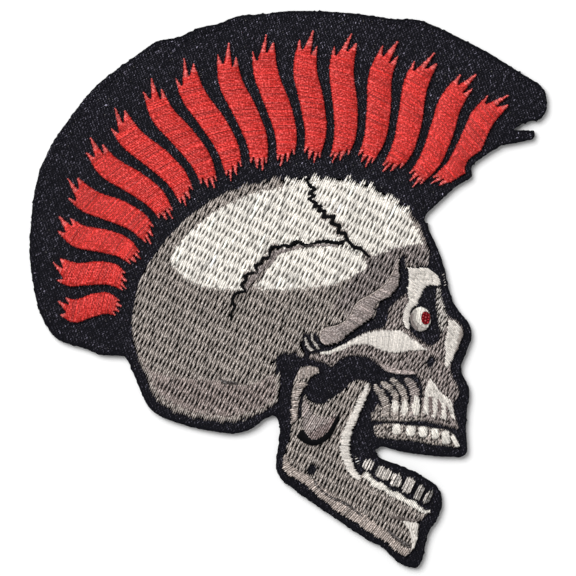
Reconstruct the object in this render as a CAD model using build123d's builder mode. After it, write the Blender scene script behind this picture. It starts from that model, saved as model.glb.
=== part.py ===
from build123d import *
import os
from math import cos, pi, radians, sin, tan

# An embroidered patch, lying face up: a skull in profile, facing +X, under a tall crest of hair.
# The frame has +X to the right of the picture, +Y to its top and +Z out of the face. The origin is
# on the flat back, at the middle of the patch's box. Lengths are in millimetres.

# Driving dimensions
patch_width = 92.9
patch_height = 100.0
cloth_thickness = 1.2
border_width = 1.15
border_height = 0.7
border_round = 0.25
fill_height = 0.6
satin_height = 0.25
crest_height = 0.75
suture_width = 0.5
thread_gap = 0.06
lock_count = 16

# How much of a run between two corners an arc may take, and the longest mitre on a bent strip
arc_share = 0.48
mitre_limit = 1.45

# How round the bends of a smooth strip and of a suture, a strip's ends and a tooth's corners are
bend_round = 1.0
zigzag_round = 0.5
strip_end_round = 0.6
tooth_round = 0.35

# How far a lock of the crest sways to either side, as a share of its lane
lock_sway = 0.22

# Levels, from the back up
cloth_top = cloth_thickness
fill_top = cloth_top + fill_height

# The tables' units
percent_width = patch_width / 100
percent_height = patch_height / 100

# Outlines are tables of corners, clockwise. The columns are
#   across  percent of the patch's width, from its left side
#   up      percent of the patch's height, from its bottom
#   round   0 for a sharp corner, 1 for an arc as large as the runs beside it allow

CREST_EDGE = [
    (0.0, 54.8, 1.0),
    (0.0, 59.2, 1.0),
    (0.7, 66.7, 1.0),
    (1.9, 71.4, 1.0),
    (4.6, 76.7, 1.0),
    (9.2, 82.5, 1.0),
    (12.8, 86.7, 1.0),
    (19.4, 91.2, 1.0),
    (24.8, 94.8, 1.0),
    (28.3, 95.0, 1.0),
    (33.0, 97.0, 1.0),
    (36.7, 97.6, 1.0),
    (40.1, 99.2, 1.0),
    (44.9, 99.3, 1.0),
    (49.3, 100.0, 1.0),
    (53.4, 100.0, 1.0),
    (62.0, 99.7, 1.0),
    (71.0, 98.4, 1.0),
    (75.1, 98.6, 1.0),
    (81.6, 95.9, 1.0),
    (89.0, 92.4, 1.0),
    (94.8, 88.9, 1.0),
    (98.9, 86.7, 1.0),
    (100.0, 84.9, 0.8),
    (100.0, 82.1, 0.6),
    (98.8, 80.5, 0.8),
    (95.7, 80.1, 0.8),
    (93.2, 78.4, 0.6),
    (91.2, 75.8, 0.3),
    (89.0, 74.6, 1.0),
    (85.4, 72.3, 0.8),
    (85.5, 70.1, 0.5),
    (82.4, 68.5, 0.8),
    (76.0, 62.9, 0.3),
]

# The thin prong under the notch at the crest's tip
CREST_PRONG = [
    (91.0, 78.6, 0.0),
    (93.5, 78.6, 0.0),
    (97.7, 78.4, 0.4),
    (97.5, 77.0, 0.8),
    (92.9, 76.1, 0.6),
    (90.0, 75.7, 0.0),
]

FACE_EDGE = [
    (79.8, 55.7, 1.0),
    (81.6, 47.5, 1.0),
    (85.3, 43.5, 1.0),
    (85.6, 41.4, 1.0),
    (83.4, 36.2, 0.8),
    (83.5, 34.9, 0.8),
    (85.3, 31.9, 1.0),
    (84.2, 26.5, 1.0),
    (84.8, 19.9, 0.6),
    (79.4, 19.8, 1.0),
    (71.6, 20.8, 1.0),
    (68.2, 21.8, 0.8),
    (66.7, 21.1, 0.4),
]

JAW_EDGE = [
    (67.6, 19.6, 0.6),
    (73.7, 17.5, 1.0),
    (78.9, 14.7, 1.0),
    (80.0, 11.9, 1.0),
    (79.1, 9.0, 1.0),
    (77.0, 6.3, 1.0),
    (76.0, 1.5, 0.8),
    (75.2, 0.0, 0.8),
    (72.8, 0.0, 1.0),
    (70.2, 1.7, 1.0),
    (68.2, 3.8, 1.0),
    (66.0, 4.5, 1.0),
    (55.4, 11.1, 1.0),
    (48.7, 15.7, 1.0),
    (47.6, 17.5, 1.0),
    (47.8, 20.2, 1.0),
    (48.4, 23.0, 1.0),
    (48.5, 25.8, 0.8),
    (47.4, 27.4, 0.9),
]

NAPE_EDGE = [
    (45.8, 27.0, 1.0),
    (42.8, 24.6, 1.0),
    (39.1, 23.9, 1.0),
    (33.0, 24.8, 1.0),
    (26.8, 26.4, 1.0),
    (23.2, 28.2, 1.0),
    (21.6, 31.3, 1.0),
    (19.4, 36.5, 0.6),
    (18.3, 38.0, 0.5),
    (13.6, 38.1, 1.0),
    (10.7, 39.4, 0.8),
    (7.4, 40.1, 1.0),
    (4.6, 41.3, 1.0),
    (1.5, 46.4, 1.0),
]

CRANIUM = [
    (21.7, 53.1, 1.0),
    (26.4, 58.9, 1.0),
    (32.2, 64.5, 1.0),
    (39.5, 68.1, 1.0),
    (48.4, 69.8, 1.0),
    (60.0, 70.1, 1.0),
    (67.8, 68.0, 1.0),
    (73.8, 63.7, 1.0),
    (77.2, 58.9, 1.0),
    (77.6, 56.0, 1.0),
    (76.8, 53.9, 0.2),
    (72.8, 53.9, 0.2),
    (72.6, 56.0, 0.6),
    (71.8, 56.1, 0.6),
    (71.6, 53.4, 1.0),
    (71.8, 50.9, 1.0),
    (70.3, 48.9, 1.0),
    (66.9, 47.1, 1.0),
    (67.0, 45.0, 1.0),
    (63.5, 42.9, 1.0),
    (61.5, 41.5, 1.0),
    (59.6, 39.9, 1.0),
    (56.6, 39.5, 0.8),
    (55.3, 42.5, 0.8),
    (52.9, 41.9, 0.8),
    (52.4, 40.3, 1.0),
    (53.7, 37.7, 0.6),
    (50.7, 38.7, 1.0),
    (48.4, 38.3, 1.0),
    (46.9, 37.1, 1.0),
    (48.6, 32.4, 1.0),
    (48.2, 30.1, 1.0),
    (45.8, 28.2, 1.0),
    (41.8, 26.6, 1.0),
    (37.8, 25.9, 1.0),
    (29.1, 27.3, 1.0),
    (24.2, 29.8, 1.0),
    (22.1, 35.1, 1.0),
    (19.5, 41.2, 1.0),
    (20.1, 47.5, 1.0),
]

# The white crown from the lower end of the squamous suture, over the top and down the forehead. The
# two sutures close it.
CROWN_EDGE = [
    (37.2, 49.5, 1.0),
    (32.2, 50.4, 1.0),
    (28.3, 52.7, 1.0),
    (26.9, 54.8, 1.0),
    (27.7, 57.0, 1.0),
    (31.4, 60.8, 1.0),
    (37.2, 65.0, 1.0),
    (43.8, 67.5, 1.0),
    (52.3, 69.2, 1.0),
    (60.4, 69.7, 1.0),
    (67.8, 67.3, 1.0),
    (73.2, 63.5, 1.0),
    (75.8, 59.9, 1.0),
    (76.1, 57.9, 0.6),
    (71.6, 57.4, 1.0),
    (68.5, 56.5, 1.0),
]

TEMPLE_HIGHLIGHT = [
    (61.6, 57.4, 0.6),
    (63.5, 56.3, 1.0),
    (65.2, 55.2, 0.6),
    (65.4, 53.8, 1.0),
    (62.9, 52.2, 1.0),
    (59.4, 50.7, 1.0),
    (51.9, 49.5, 1.0),
    (45.0, 49.6, 1.0),
    (43.0, 50.5, 0.6),
    (45.3, 52.0, 1.0),
    (46.5, 54.5, 1.0),
    (48.0, 56.5, 1.0),
    (51.5, 57.5, 1.0),
    (53.8, 57.0, 1.0),
    (56.2, 57.7, 1.0),
]

NAPE_SHADE = [
    (20.9, 38.5, 0.4),
    (23.3, 35.7, 1.0),
    (29.1, 34.2, 1.0),
    (36.4, 34.1, 1.0),
    (40.7, 32.9, 1.0),
    (45.0, 33.7, 1.0),
    (47.5, 35.3, 0.4),
    (48.1, 32.3, 1.0),
    (47.6, 30.3, 1.0),
    (45.5, 28.7, 1.0),
    (41.7, 27.2, 1.0),
    (37.8, 26.5, 1.0),
    (29.5, 27.9, 1.0),
    (24.8, 30.3, 1.0),
    (22.8, 34.6, 1.0),
]

TEMPLE_RIDGE = [
    (71.5, 55.4, 0.2),
    (71.4, 53.4, 1.0),
    (71.6, 51.0, 1.0),
    (70.1, 49.0, 1.0),
    (66.7, 47.2, 1.0),
    (66.8, 45.1, 1.0),
    (63.3, 43.1, 1.0),
    (61.4, 41.7, 1.0),
    (59.5, 40.2, 1.0),
    (56.9, 39.8, 1.0),
    (55.9, 41.6, 1.0),
    (56.9, 43.0, 1.0),
    (59.6, 43.3, 1.0),
    (62.0, 44.8, 1.0),
    (62.9, 47.4, 1.0),
    (66.0, 48.9, 1.0),
    (68.9, 50.7, 1.0),
    (70.3, 53.1, 1.0),
]

BROW_HIGHLIGHT = [
    (73.2, 53.7, 0.2),
    (77.0, 53.7, 0.4),
    (79.0, 52.5, 1.0),
    (79.5, 50.7, 0.3),
    (76.8, 50.8, 0.8),
    (75.8, 49.5, 1.0),
    (74.9, 47.3, 1.0),
    (73.7, 46.5, 1.0),
    (73.3, 44.6, 1.0),
    (73.5, 42.8, 0.5),
    (72.7, 43.0, 0.6),
    (72.1, 45.0, 1.0),
    (72.7, 46.6, 1.0),
    (73.6, 47.8, 1.0),
    (73.1, 49.6, 1.0),
    (73.5, 51.8, 1.0),
]

# The bone round the eye socket: the socket is the bare cloth between the cheek and the nose bone.
FACE = [
    (54.1, 38.4, 0.5),
    (56.5, 38.4, 1.0),
    (59.2, 39.1, 1.0),
    (62.0, 40.8, 1.0),
    (65.0, 42.3, 1.0),
    (68.7, 43.1, 1.0),
    (69.3, 44.8, 1.0),
    (69.5, 46.6, 1.0),
    (71.4, 48.2, 1.0),
    (73.0, 49.3, 0.5),
    (73.4, 47.7, 1.0),
    (72.6, 46.2, 1.0),
    (72.7, 44.0, 1.0),
    (73.7, 42.3, 1.0),
    (75.5, 40.8, 1.0),
    (77.6, 39.6, 1.0),
    (79.2, 40.5, 1.0),
    (79.6, 42.1, 1.0),
    (78.8, 44.8, 1.0),
    (78.6, 48.0, 1.0),
    (78.7, 50.3, 0.3),
    (79.6, 50.3, 0.3),
    (79.8, 47.7, 1.0),
    (81.1, 44.9, 0.8),
    (82.6, 44.4, 1.0),
    (84.3, 42.7, 1.0),
    (83.0, 39.4, 1.0),
    (81.4, 36.9, 1.0),
    (81.4, 34.9, 1.0),
    (83.3, 31.7, 1.0),
    (82.6, 30.2, 0.6),
    (81.9, 29.7, 0.6),
    (82.3, 27.2, 0.8),
    (83.2, 24.6, 0.6),
    (80.9, 25.3, 0.8),
    (78.1, 25.9, 1.0),
    (75.6, 26.3, 0.4),
    (75.8, 30.4, 1.0),
    (76.1, 32.6, 1.0),
    (74.9, 34.6, 1.0),
    (73.0, 35.2, 1.0),
    (69.9, 34.9, 1.0),
    (67.9, 35.8, 1.0),
    (66.0, 37.7, 1.0),
    (62.0, 38.1, 1.0),
    (60.0, 37.4, 0.8),
    (58.7, 36.0, 0.5),
    (56.2, 37.0, 1.0),
    (54.1, 37.4, 0.5),
]

CHEEK_HIGHLIGHT = [
    (58.5, 38.9, 0.2),
    (62.0, 40.6, 1.0),
    (64.9, 42.0, 1.0),
    (68.7, 42.6, 1.0),
    (72.2, 42.5, 0.9),
    (74.1, 40.8, 1.0),
    (77.2, 39.0, 0.2),
    (72.6, 38.9, 1.0),
    (70.7, 38.5, 1.0),
    (67.8, 39.1, 1.0),
    (65.4, 40.2, 1.0),
    (62.3, 40.0, 1.0),
]

NOSE_HIGHLIGHT = [
    (81.1, 44.5, 0.4),
    (82.5, 44.1, 0.8),
    (83.9, 42.5, 0.8),
    (83.0, 39.8, 1.0),
    (81.4, 37.1, 1.0),
    (80.7, 35.6, 0.4),
    (80.4, 36.6, 1.0),
    (80.6, 38.7, 1.0),
    (80.3, 40.1, 1.0),
    (80.9, 42.3, 1.0),
]

# The white front of the upper jaw ends in four roots.
MAXILLA_HIGHLIGHT = [
    (77.6, 33.9, 0.2),
    (79.5, 31.3, 1.0),
    (81.6, 29.8, 0.5),
    (81.9, 28.3, 0.8),
    (82.3, 26.7, 0.3),
    (81.6, 26.8, 0.3),
    (81.0, 29.0, 0.8),
    (80.5, 26.5, 0.3),
    (79.5, 26.8, 0.3),
    (79.0, 29.4, 0.8),
    (78.6, 27.0, 0.3),
    (77.7, 27.0, 0.3),
    (77.4, 29.9, 0.8),
    (77.1, 27.4, 0.3),
    (76.1, 27.7, 0.3),
    (76.4, 30.6, 1.0),
    (76.8, 32.6, 1.0),
]

UPPER_TEETH = [
    (66.4, 25.5, 0.5),
    (70.3, 26.0, 1.0),
    (72.4, 25.5, 1.0),
    (76.3, 25.3, 1.0),
    (78.6, 25.0, 1.0),
    (80.5, 24.7, 1.0),
    (82.1, 24.0, 1.0),
    (83.4, 21.5, 0.4),
    (80.5, 21.7, 1.0),
    (77.8, 22.1, 1.0),
    (74.0, 22.7, 1.0),
    (69.9, 23.0, 1.0),
    (66.9, 23.4, 0.6),
]

# The branch of the jaw runs up to two horns with a notch between, and a slit parts the rear one.
JAW = [
    (51.9, 35.3, 0.8),
    (52.5, 36.1, 0.8),
    (55.2, 36.1, 1.0),
    (56.2, 35.1, 0.5),
    (54.4, 34.0, 0.8),
    (52.9, 32.2, 1.0),
    (52.2, 30.1, 1.0),
    (51.8, 26.7, 0.3),
    (52.5, 26.7, 0.3),
    (52.7, 29.4, 1.0),
    (53.1, 31.2, 0.1),
    (54.0, 30.1, 1.0),
    (56.2, 29.0, 1.0),
    (58.3, 30.3, 1.0),
    (60.8, 31.7, 1.0),
    (62.0, 33.3, 0.8),
    (64.3, 33.8, 1.0),
    (66.1, 32.9, 0.4),
    (65.6, 31.1, 1.0),
    (63.9, 27.9, 1.0),
    (62.2, 24.1, 1.0),
    (61.8, 20.7, 1.0),
    (62.7, 17.6, 1.0),
    (63.9, 16.3, 0.4),
    (64.7, 17.3, 0.5),
    (66.0, 16.9, 0.6),
    (67.2, 14.9, 1.0),
    (68.9, 14.7, 0.8),
    (70.3, 13.4, 1.0),
    (71.8, 13.2, 1.0),
    (73.7, 11.8, 1.0),
    (75.3, 11.2, 1.0),
    (76.5, 10.2, 1.0),
    (77.8, 10.1, 0.2),
    (76.1, 8.8, 0.8),
    (75.3, 7.7, 0.8),
    (75.2, 5.3, 1.0),
    (73.9, 2.5, 0.8),
    (72.4, 2.1, 0.8),
    (69.3, 4.0, 1.0),
    (64.3, 7.4, 1.0),
    (58.1, 11.0, 1.0),
    (52.7, 15.5, 1.0),
    (49.5, 16.9, 1.0),
    (48.9, 18.6, 1.0),
    (49.4, 20.9, 1.0),
    (50.4, 23.3, 1.0),
    (50.7, 27.9, 1.0),
    (50.6, 31.9, 1.0),
    (51.3, 33.7, 1.0),
]

RAMUS_HOLLOW = [
    (53.1, 30.8, 0.1),
    (53.8, 29.8, 1.0),
    (54.1, 28.5, 1.0),
    (55.2, 27.2, 1.0),
    (56.7, 26.7, 1.0),
    (58.3, 26.9, 1.0),
    (59.3, 27.7, 0.2),
    (58.7, 25.8, 1.0),
    (57.1, 23.2, 1.0),
    (54.8, 22.4, 1.0),
    (53.2, 23.6, 1.0),
    (52.8, 25.8, 1.0),
    (52.9, 29.4, 1.0),
]

RAMUS_SHADOW = [
    (60.2, 28.2, 0.2),
    (59.3, 25.2, 1.0),
    (58.3, 23.4, 1.0),
    (56.5, 22.2, 1.0),
    (54.6, 21.8, 1.0),
    (52.9, 22.4, 1.0),
    (51.6, 23.6, 0.3),
    (52.9, 25.0, 0.6),
    (53.5, 23.6, 1.0),
    (54.8, 22.8, 1.0),
    (56.5, 23.2, 1.0),
    (58.3, 25.0, 1.0),
    (59.2, 27.0, 1.0),
]

CHIN_HIGHLIGHT = [
    (72.2, 8.3, 0.2),
    (73.9, 8.0, 0.8),
    (75.1, 7.9, 0.4),
    (75.0, 5.5, 1.0),
    (74.5, 3.7, 0.8),
    (74.0, 3.3, 0.4),
    (73.9, 4.9, 1.0),
    (73.6, 6.6, 1.0),
    (72.9, 7.5, 1.0),
]

# Strips are tables of sections along a route. The columns are across and up, as above, and
#   width   percent of the patch's width, or for a suture a share of the suture's width

CORONAL_SUTURE = [
    (53.5, 69.7, 0.6),
    (54.2, 68.5, 1.1),
    (55.2, 68.0, 1.1),
    (54.0, 67.1, 1.1),
    (55.2, 66.8, 1.1),
    (53.9, 66.2, 1.0),
    (55.4, 65.5, 1.0),
    (55.1, 64.8, 1.0),
    (56.4, 64.9, 1.0),
    (55.8, 64.0, 1.0),
    (57.1, 64.1, 1.0),
    (56.8, 62.9, 1.0),
    (58.9, 63.1, 1.0),
    (58.3, 61.9, 1.0),
    (60.0, 61.3, 1.0),
    (59.6, 60.1, 1.0),
    (61.0, 60.1, 1.0),
    (61.5, 58.7, 1.0),
    (62.7, 57.5, 1.1),
    (63.9, 57.4, 1.0),
    (64.9, 56.4, 0.9),
    (65.9, 55.7, 0.6),
]

SQUAMOUS_SUTURE = [
    (60.6, 58.2, 1.0),
    (58.9, 58.3, 1.0),
    (57.3, 58.6, 1.0),
    (55.6, 58.4, 1.0),
    (54.4, 57.8, 1.0),
    (53.1, 57.8, 1.0),
    (52.3, 58.4, 1.0),
    (51.3, 58.5, 1.0),
    (50.4, 57.5, 1.0),
    (49.2, 57.9, 0.9),
    (48.2, 57.5, 0.9),
    (46.9, 57.6, 0.9),
    (46.4, 56.8, 0.9),
    (46.5, 55.5, 0.9),
    (45.1, 55.6, 0.8),
    (44.7, 54.5, 0.8),
    (43.6, 54.3, 0.8),
    (44.2, 52.9, 0.8),
    (42.4, 52.8, 0.8),
    (41.5, 52.3, 0.8),
    (42.0, 51.6, 0.8),
    (40.9, 50.9, 0.8),
    (41.9, 49.6, 0.8),
    (40.1, 49.4, 0.8),
    (39.1, 47.9, 0.8),
    (39.7, 46.8, 0.8),
    (39.0, 45.7, 0.7),
    (38.9, 44.3, 0.4),
]

TEMPLE_ARCS = [
    [(54.5, 42.0, 0.3), (54.9, 40.4, 0.45), (56.1, 39.2, 0.4)],
    [(53.3, 41.3, 0.4), (53.7, 39.8, 0.5), (54.7, 38.9, 0.45)],
]

ALVEOLAR_RIDGES = [
    [(66.7, 32.8, 0.8), (67.6, 31.6, 1.2), (68.6, 30.4, 1.3), (69.0, 28.8, 1.35), (68.7, 27.0, 1.4)],
    [(67.9, 33.2, 0.8), (69.5, 32.4, 1.0), (70.6, 31.2, 1.0), (70.9, 29.4, 1.2), (70.5, 27.0, 1.4)],
    [(69.9, 33.9, 0.8), (71.2, 32.9, 1.0), (72.3, 31.6, 1.1), (72.7, 29.7, 1.3), (72.3, 27.0, 1.4)],
    [(72.5, 33.8, 0.8), (73.8, 33.1, 1.6), (74.5, 31.7, 1.6), (74.6, 29.5, 1.4), (74.2, 27.0, 1.4)],
]

RAMUS_HIGHLIGHT = [
    (65.4, 33.0, 0.5),
    (65.0, 31.7, 0.95),
    (64.1, 29.7, 1.15),
    (62.9, 27.5, 1.25),
    (61.7, 25.2, 1.35),
    (61.0, 22.9, 1.55),
    (60.9, 20.7, 1.65),
    (61.7, 18.6, 1.6),
    (62.8, 16.8, 1.5),
    (63.9, 15.9, 0.8),
]

GUM_HIGHLIGHT = [
    (64.6, 16.6, 1.0),
    (65.7, 16.1, 1.1),
    (67.0, 14.6, 0.8),
    (68.7, 14.3, 0.9),
    (70.1, 13.0, 0.85),
    (71.6, 12.7, 0.9),
    (73.5, 11.5, 0.85),
    (75.1, 10.9, 0.85),
    (76.3, 9.9, 0.75),
    (77.4, 10.0, 0.3),
]

JAW_RIDGE = [
    (49.4, 20.0, 0.8),
    (49.6, 17.9, 1.6),
    (51.5, 16.5, 2.0),
    (54.1, 15.0, 2.3),
    (56.8, 12.8, 2.4),
    (59.8, 10.9, 2.5),
    (63.1, 8.9, 2.6),
    (66.6, 6.6, 2.6),
    (69.5, 4.5, 2.3),
    (71.9, 2.9, 1.9),
    (73.4, 2.5, 1.2),
]

# Ovals and teeth. The columns are the centre's across and up, then width as percent of the patch's
# width, height as percent of the patch's height, and lean in degrees, clockwise.

EYEBALL = (75.6, 44.6, 3.9, 4.4, 0.0)
IRIS = (76.6, 44.8, 1.75, 2.4, 0.0)
CHEEK_FORAMEN = (77.6, 36.9, 1.5, 2.1, 10.0)
JAW_FORAMEN = (54.6, 17.5, 1.7, 1.8, -30.0)

UPPER_TEETH_FRONTS = [
    (71.0, 24.8, 1.6, 1.9, 0.0),
    (73.7, 24.5, 1.8, 1.9, 0.0),
    (76.1, 24.3, 1.7, 1.9, 0.0),
    (78.4, 24.0, 1.4, 1.9, -5.0),
    (80.5, 23.3, 1.5, 2.4, -8.0),
    (82.3, 22.7, 1.0, 2.4, -25.0),
]

LOWER_TEETH = [
    (65.5, 18.4, 1.9, 1.5, 18.0),
    (68.4, 16.9, 3.0, 1.7, 20.0),
    (70.9, 15.6, 2.1, 2.3, 8.0),
    (73.3, 14.7, 1.7, 2.7, 24.0),
    (75.4, 13.5, 1.4, 2.5, 28.0),
    (77.1, 12.6, 1.1, 2.4, 36.0),
]

# The locks of the crest stand between two lines, in lanes of equal share. The columns are across and up.

LOCK_ROOT_LINE = [
    (17.6, 43.8),
    (19.0, 50.4),
    (22.8, 56.8),
    (28.5, 63.2),
    (36.1, 68.0),
    (44.9, 71.0),
    (54.6, 72.4),
    (63.1, 72.0),
    (70.5, 69.9),
    (76.2, 67.9),
    (79.8, 70.0),
]

LOCK_TIP_LINE = [
    (6.2, 43.8),
    (4.6, 53.0),
    (5.1, 62.0),
    (7.8, 71.0),
    (12.7, 79.0),
    (19.8, 85.7),
    (27.5, 90.7),
    (35.7, 93.8),
    (44.9, 95.9),
    (54.2, 96.7),
    (63.5, 96.1),
    (72.8, 94.6),
    (81.3, 91.5),
    (89.0, 87.6),
    (96.4, 82.2),
]

# One lock in its lane, clockwise, with three frayed prongs at each end. The columns are
#   along   0 on the root line, 1 on the tip line
#   side    -1 to 1 across the lane
#   round   as for an outline
LOCK_EDGE = [
    (0.00, -0.30, 0.2),
    (0.11, -0.36, 0.6),
    (0.05, -0.58, 0.2),
    (0.24, -0.72, 1.0),
    (0.50, -0.74, 1.0),
    (0.70, -0.66, 1.0),
    (0.88, -0.58, 0.2),
    (0.78, -0.34, 0.6),
    (1.00, -0.10, 0.2),
    (0.82, 0.08, 0.6),
    (0.93, 0.38, 0.2),
    (0.70, 0.60, 1.0),
    (0.46, 0.72, 1.0),
    (0.22, 0.70, 1.0),
    (0.08, 0.62, 0.2),
    (0.14, 0.40, 0.6),
    (0.03, 0.18, 0.2),
    (0.13, -0.04, 0.6),
]


def place(across, up):
    """Turn shares of the patch's width and height into a point on its face."""
    return Vector((across / 100 - 0.5) * patch_width, (up / 100 - 0.5) * patch_height)


def corner_arc(before, corner, after, round_share):
    """Give the start, middle and end of a corner's arc, tangent to the runs on either side."""
    back = before - corner
    ahead = after - corner
    room = arc_share * round_share * min(back.length, ahead.length)
    turn = radians(180 - back.get_angle(ahead))
    inward = (back.normalized() + ahead.normalized()).normalized()
    start = corner + back.normalized() * room
    middle = corner + inward * (room * tan(turn / 4))
    end = corner + ahead.normalized() * room
    return start, middle, end


def outlined(corners, round_shares):
    """Make a flat area from its corners and how round each of them is."""
    befores = corners[-1:] + corners[:-1]
    afters = corners[1:] + corners[:1]
    arcs = [corner_arc(*corner) for corner in zip(befores, corners, afters, round_shares)]
    with BuildSketch() as area:
        with BuildLine():
            for (start, middle, end), (next_start, _, _) in zip(arcs, arcs[1:] + arcs[:1]):
                if start != end:
                    ThreePointArc(start, middle, end)
                Line(end, next_start)
        make_face()
    return area.sketch


def table_area(rows):
    """Make a flat area from an outline's table."""
    corners = [place(across, up) for across, up, round_share in rows]
    return outlined(corners, [round_share for across, up, round_share in rows])


def strip_area(rows, width_unit, side_round):
    """Make a flat strip from a table of sections, with mitred bends and rounded ends."""
    route = [place(across, up) for across, up, width in rows]
    runs = [(after - before).normalized() for before, after in zip(route, route[1:])]
    left = []
    right = []
    for point, run_in, run_out, row in zip(route, runs[:1] + runs, runs + runs[-1:], rows):
        half_turn = radians(run_in.get_angle(run_out)) / 2
        mitre = min(1 / cos(half_turn), mitre_limit)
        reach = (run_in + run_out).normalized() * (mitre * row[2] * width_unit / 2)
        left.append(point + reach.rotate(Axis.Z, 90))
        right.append(point - reach.rotate(Axis.Z, 90))
    side_shares = [strip_end_round] + [side_round] * (len(rows) - 2) + [strip_end_round]
    return outlined(left + right[::-1], side_shares * 2)


def oval_area(centre_across, centre_up, width, height, lean):
    """Make a flat oval."""
    centre = place(centre_across, centre_up)
    with BuildSketch() as area:
        with Locations(centre):
            Ellipse(width * percent_width / 2, height * percent_height / 2, rotation=-lean)
    return area.sketch


def tooth_area(centre_across, centre_up, width, height, lean):
    """Make the flat, round-cornered front of a tooth."""
    centre = place(centre_across, centre_up)
    tooth_width = width * percent_width
    tooth_height = height * percent_height
    corner_round = tooth_round * min(tooth_width, tooth_height)
    with BuildSketch() as area:
        with Locations(centre):
            RectangleRounded(tooth_width, tooth_height, corner_round, rotation=-lean)
    return area.sketch


def lock_area(root_line, tip_line, number):
    """Make one lock of the crest in its lane between the two lines, handed by turns."""
    handed = 1 if number % 2 else -1
    share = (number + 0.5) / lock_count
    root = root_line @ share
    growth = tip_line @ share - root
    sideways = growth.normalized().rotate(Axis.Z, -90)
    corners = []
    for along, side, round_share in LOCK_EDGE:
        lane = (root_line.length * (1 - along) + tip_line.length * along) / lock_count
        shift = lane * (handed * side / 2 + lock_sway * sin(2 * pi * along))
        corners.append(root + growth * along + sideways * shift)
    return outlined(corners, [round_share for along, side, round_share in LOCK_EDGE])


def fitted(area, field, *neighbours):
    """Keep what lies on a field, a thread's gap clear of each neighbour."""
    with BuildSketch() as kept:
        add(area)
        add(field, mode=Mode.INTERSECT)
        for neighbour in neighbours:
            offset(neighbour, amount=thread_gap, mode=Mode.SUBTRACT)
    return kept.sketch


def pierced(area, hole):
    """Leave a hole in an area bare."""
    with BuildSketch() as rest:
        add(area)
        add(hole, mode=Mode.SUBTRACT)
    return rest.sketch


def write(name, part):
    """Label a finished piece and write its file."""
    part.label = name
    export_step(part, f"parts/{name}.step")


def raised(name, area, base, height):
    """Raise an area into a closed piece of stitching, then label and write it."""
    with BuildPart() as piece:
        with BuildSketch(Plane.XY.offset(base)):
            add(area)
        extrude(amount=height)
    write(name, piece.part)


os.makedirs("parts", exist_ok=True)

# The patch is its main outline and the prong at the crest's tip
main_area = table_area(CREST_EDGE + FACE_EDGE + JAW_EDGE + NAPE_EDGE)
with BuildSketch() as patch:
    add(main_area)
    add(table_area(CREST_PRONG))
patch_area = patch.sketch

# The black cloth, cut to the outline
with BuildPart() as ground_cloth:
    with BuildSketch(Plane.XY):
        add(patch_area)
    extrude(amount=cloth_thickness)
write("ground_cloth", ground_cloth.part)

# The satin border, whose outer wall is flush with the cut edge. It covers the whole prong.
with BuildPart() as edge_border:
    with BuildSketch(Plane.XY.offset(cloth_top)):
        add(patch_area)
        offset(main_area, amount=-border_width, mode=Mode.SUBTRACT)
    extrude(amount=border_height)
    fillet(edge_border.edges().group_by(Axis.Z)[-1], border_round)
write("edge_border", edge_border.part)

# All other stitching stays inside the border
with BuildSketch() as panel:
    offset(main_area, amount=-border_width - thread_gap)
panel_area = panel.sketch

# The crest
lock_roots = Spline(*[place(across, up) for across, up in LOCK_ROOT_LINE])
lock_tips = Spline(*[place(across, up) for across, up in LOCK_TIP_LINE])
for number in range(lock_count):
    lock = fitted(lock_area(lock_roots, lock_tips, number), panel_area)
    raised(f"crest_lock_{number + 1:02d}", lock, cloth_top, crest_height)

# The cranium
cranium_area = fitted(table_area(CRANIUM), panel_area)
raised("cranium_fill", cranium_area, cloth_top, fill_height)

coronal_area = strip_area(CORONAL_SUTURE, suture_width, zigzag_round)
squamous_area = strip_area(SQUAMOUS_SUTURE, suture_width, zigzag_round)
raised("coronal_suture", fitted(coronal_area, cranium_area), fill_top, satin_height)
squamous_clear = fitted(squamous_area, cranium_area, coronal_area)
raised("squamous_suture", squamous_clear, fill_top, satin_height)

# The crown's lower side follows the sutures, from the forehead end of one to the bend of the other,
# and the coronal suture parts it in two
sutures_below_crown = CORONAL_SUTURE[:-6:-1] + SQUAMOUS_SUTURE[:-5]
crown_rows = CROWN_EDGE + [(across, up, 0.0) for across, up, width in sutures_below_crown]
crown_area = fitted(table_area(crown_rows), cranium_area, coronal_area, squamous_area)
crown_back, crown_front = crown_area.faces().sort_by(SortBy.AREA)[-2:].sort_by(Axis.X)
raised("crown_highlight_back", crown_back, fill_top, satin_height)
raised("crown_highlight_front", crown_front, fill_top, satin_height)

temple_area = fitted(table_area(TEMPLE_HIGHLIGHT), cranium_area, coronal_area, squamous_area)
raised("temple_highlight", temple_area, fill_top, satin_height)
raised("nape_shade", fitted(table_area(NAPE_SHADE), cranium_area), fill_top, satin_height)
raised("temple_ridge", fitted(table_area(TEMPLE_RIDGE), cranium_area), fill_top, satin_height)

for number, rows in enumerate(TEMPLE_ARCS, start=1):
    arc_area = strip_area(rows, percent_width, bend_round)
    raised(f"temple_arc_{number}", fitted(arc_area, panel_area, cranium_area), cloth_top, fill_height)

# The eye and the brow
brow_area = fitted(table_area(BROW_HIGHLIGHT), panel_area, cranium_area)
raised("brow_highlight", brow_area, cloth_top, fill_height)
eyeball_area = fitted(oval_area(*EYEBALL), panel_area)
raised("eyeball", eyeball_area, cloth_top, fill_height)
raised("iris", fitted(oval_area(*IRIS), eyeball_area), fill_top, satin_height)

# The face, with the small hole in the cheek left bare
face_area = fitted(table_area(FACE), panel_area, brow_area, cranium_area)
raised("face_fill", pierced(face_area, oval_area(*CHEEK_FORAMEN)), cloth_top, fill_height)
raised("cheek_highlight", fitted(table_area(CHEEK_HIGHLIGHT), face_area), fill_top, satin_height)
raised("nose_highlight", fitted(table_area(NOSE_HIGHLIGHT), face_area), fill_top, satin_height)
raised("maxilla_highlight", fitted(table_area(MAXILLA_HIGHLIGHT), face_area), fill_top, satin_height)

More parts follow.
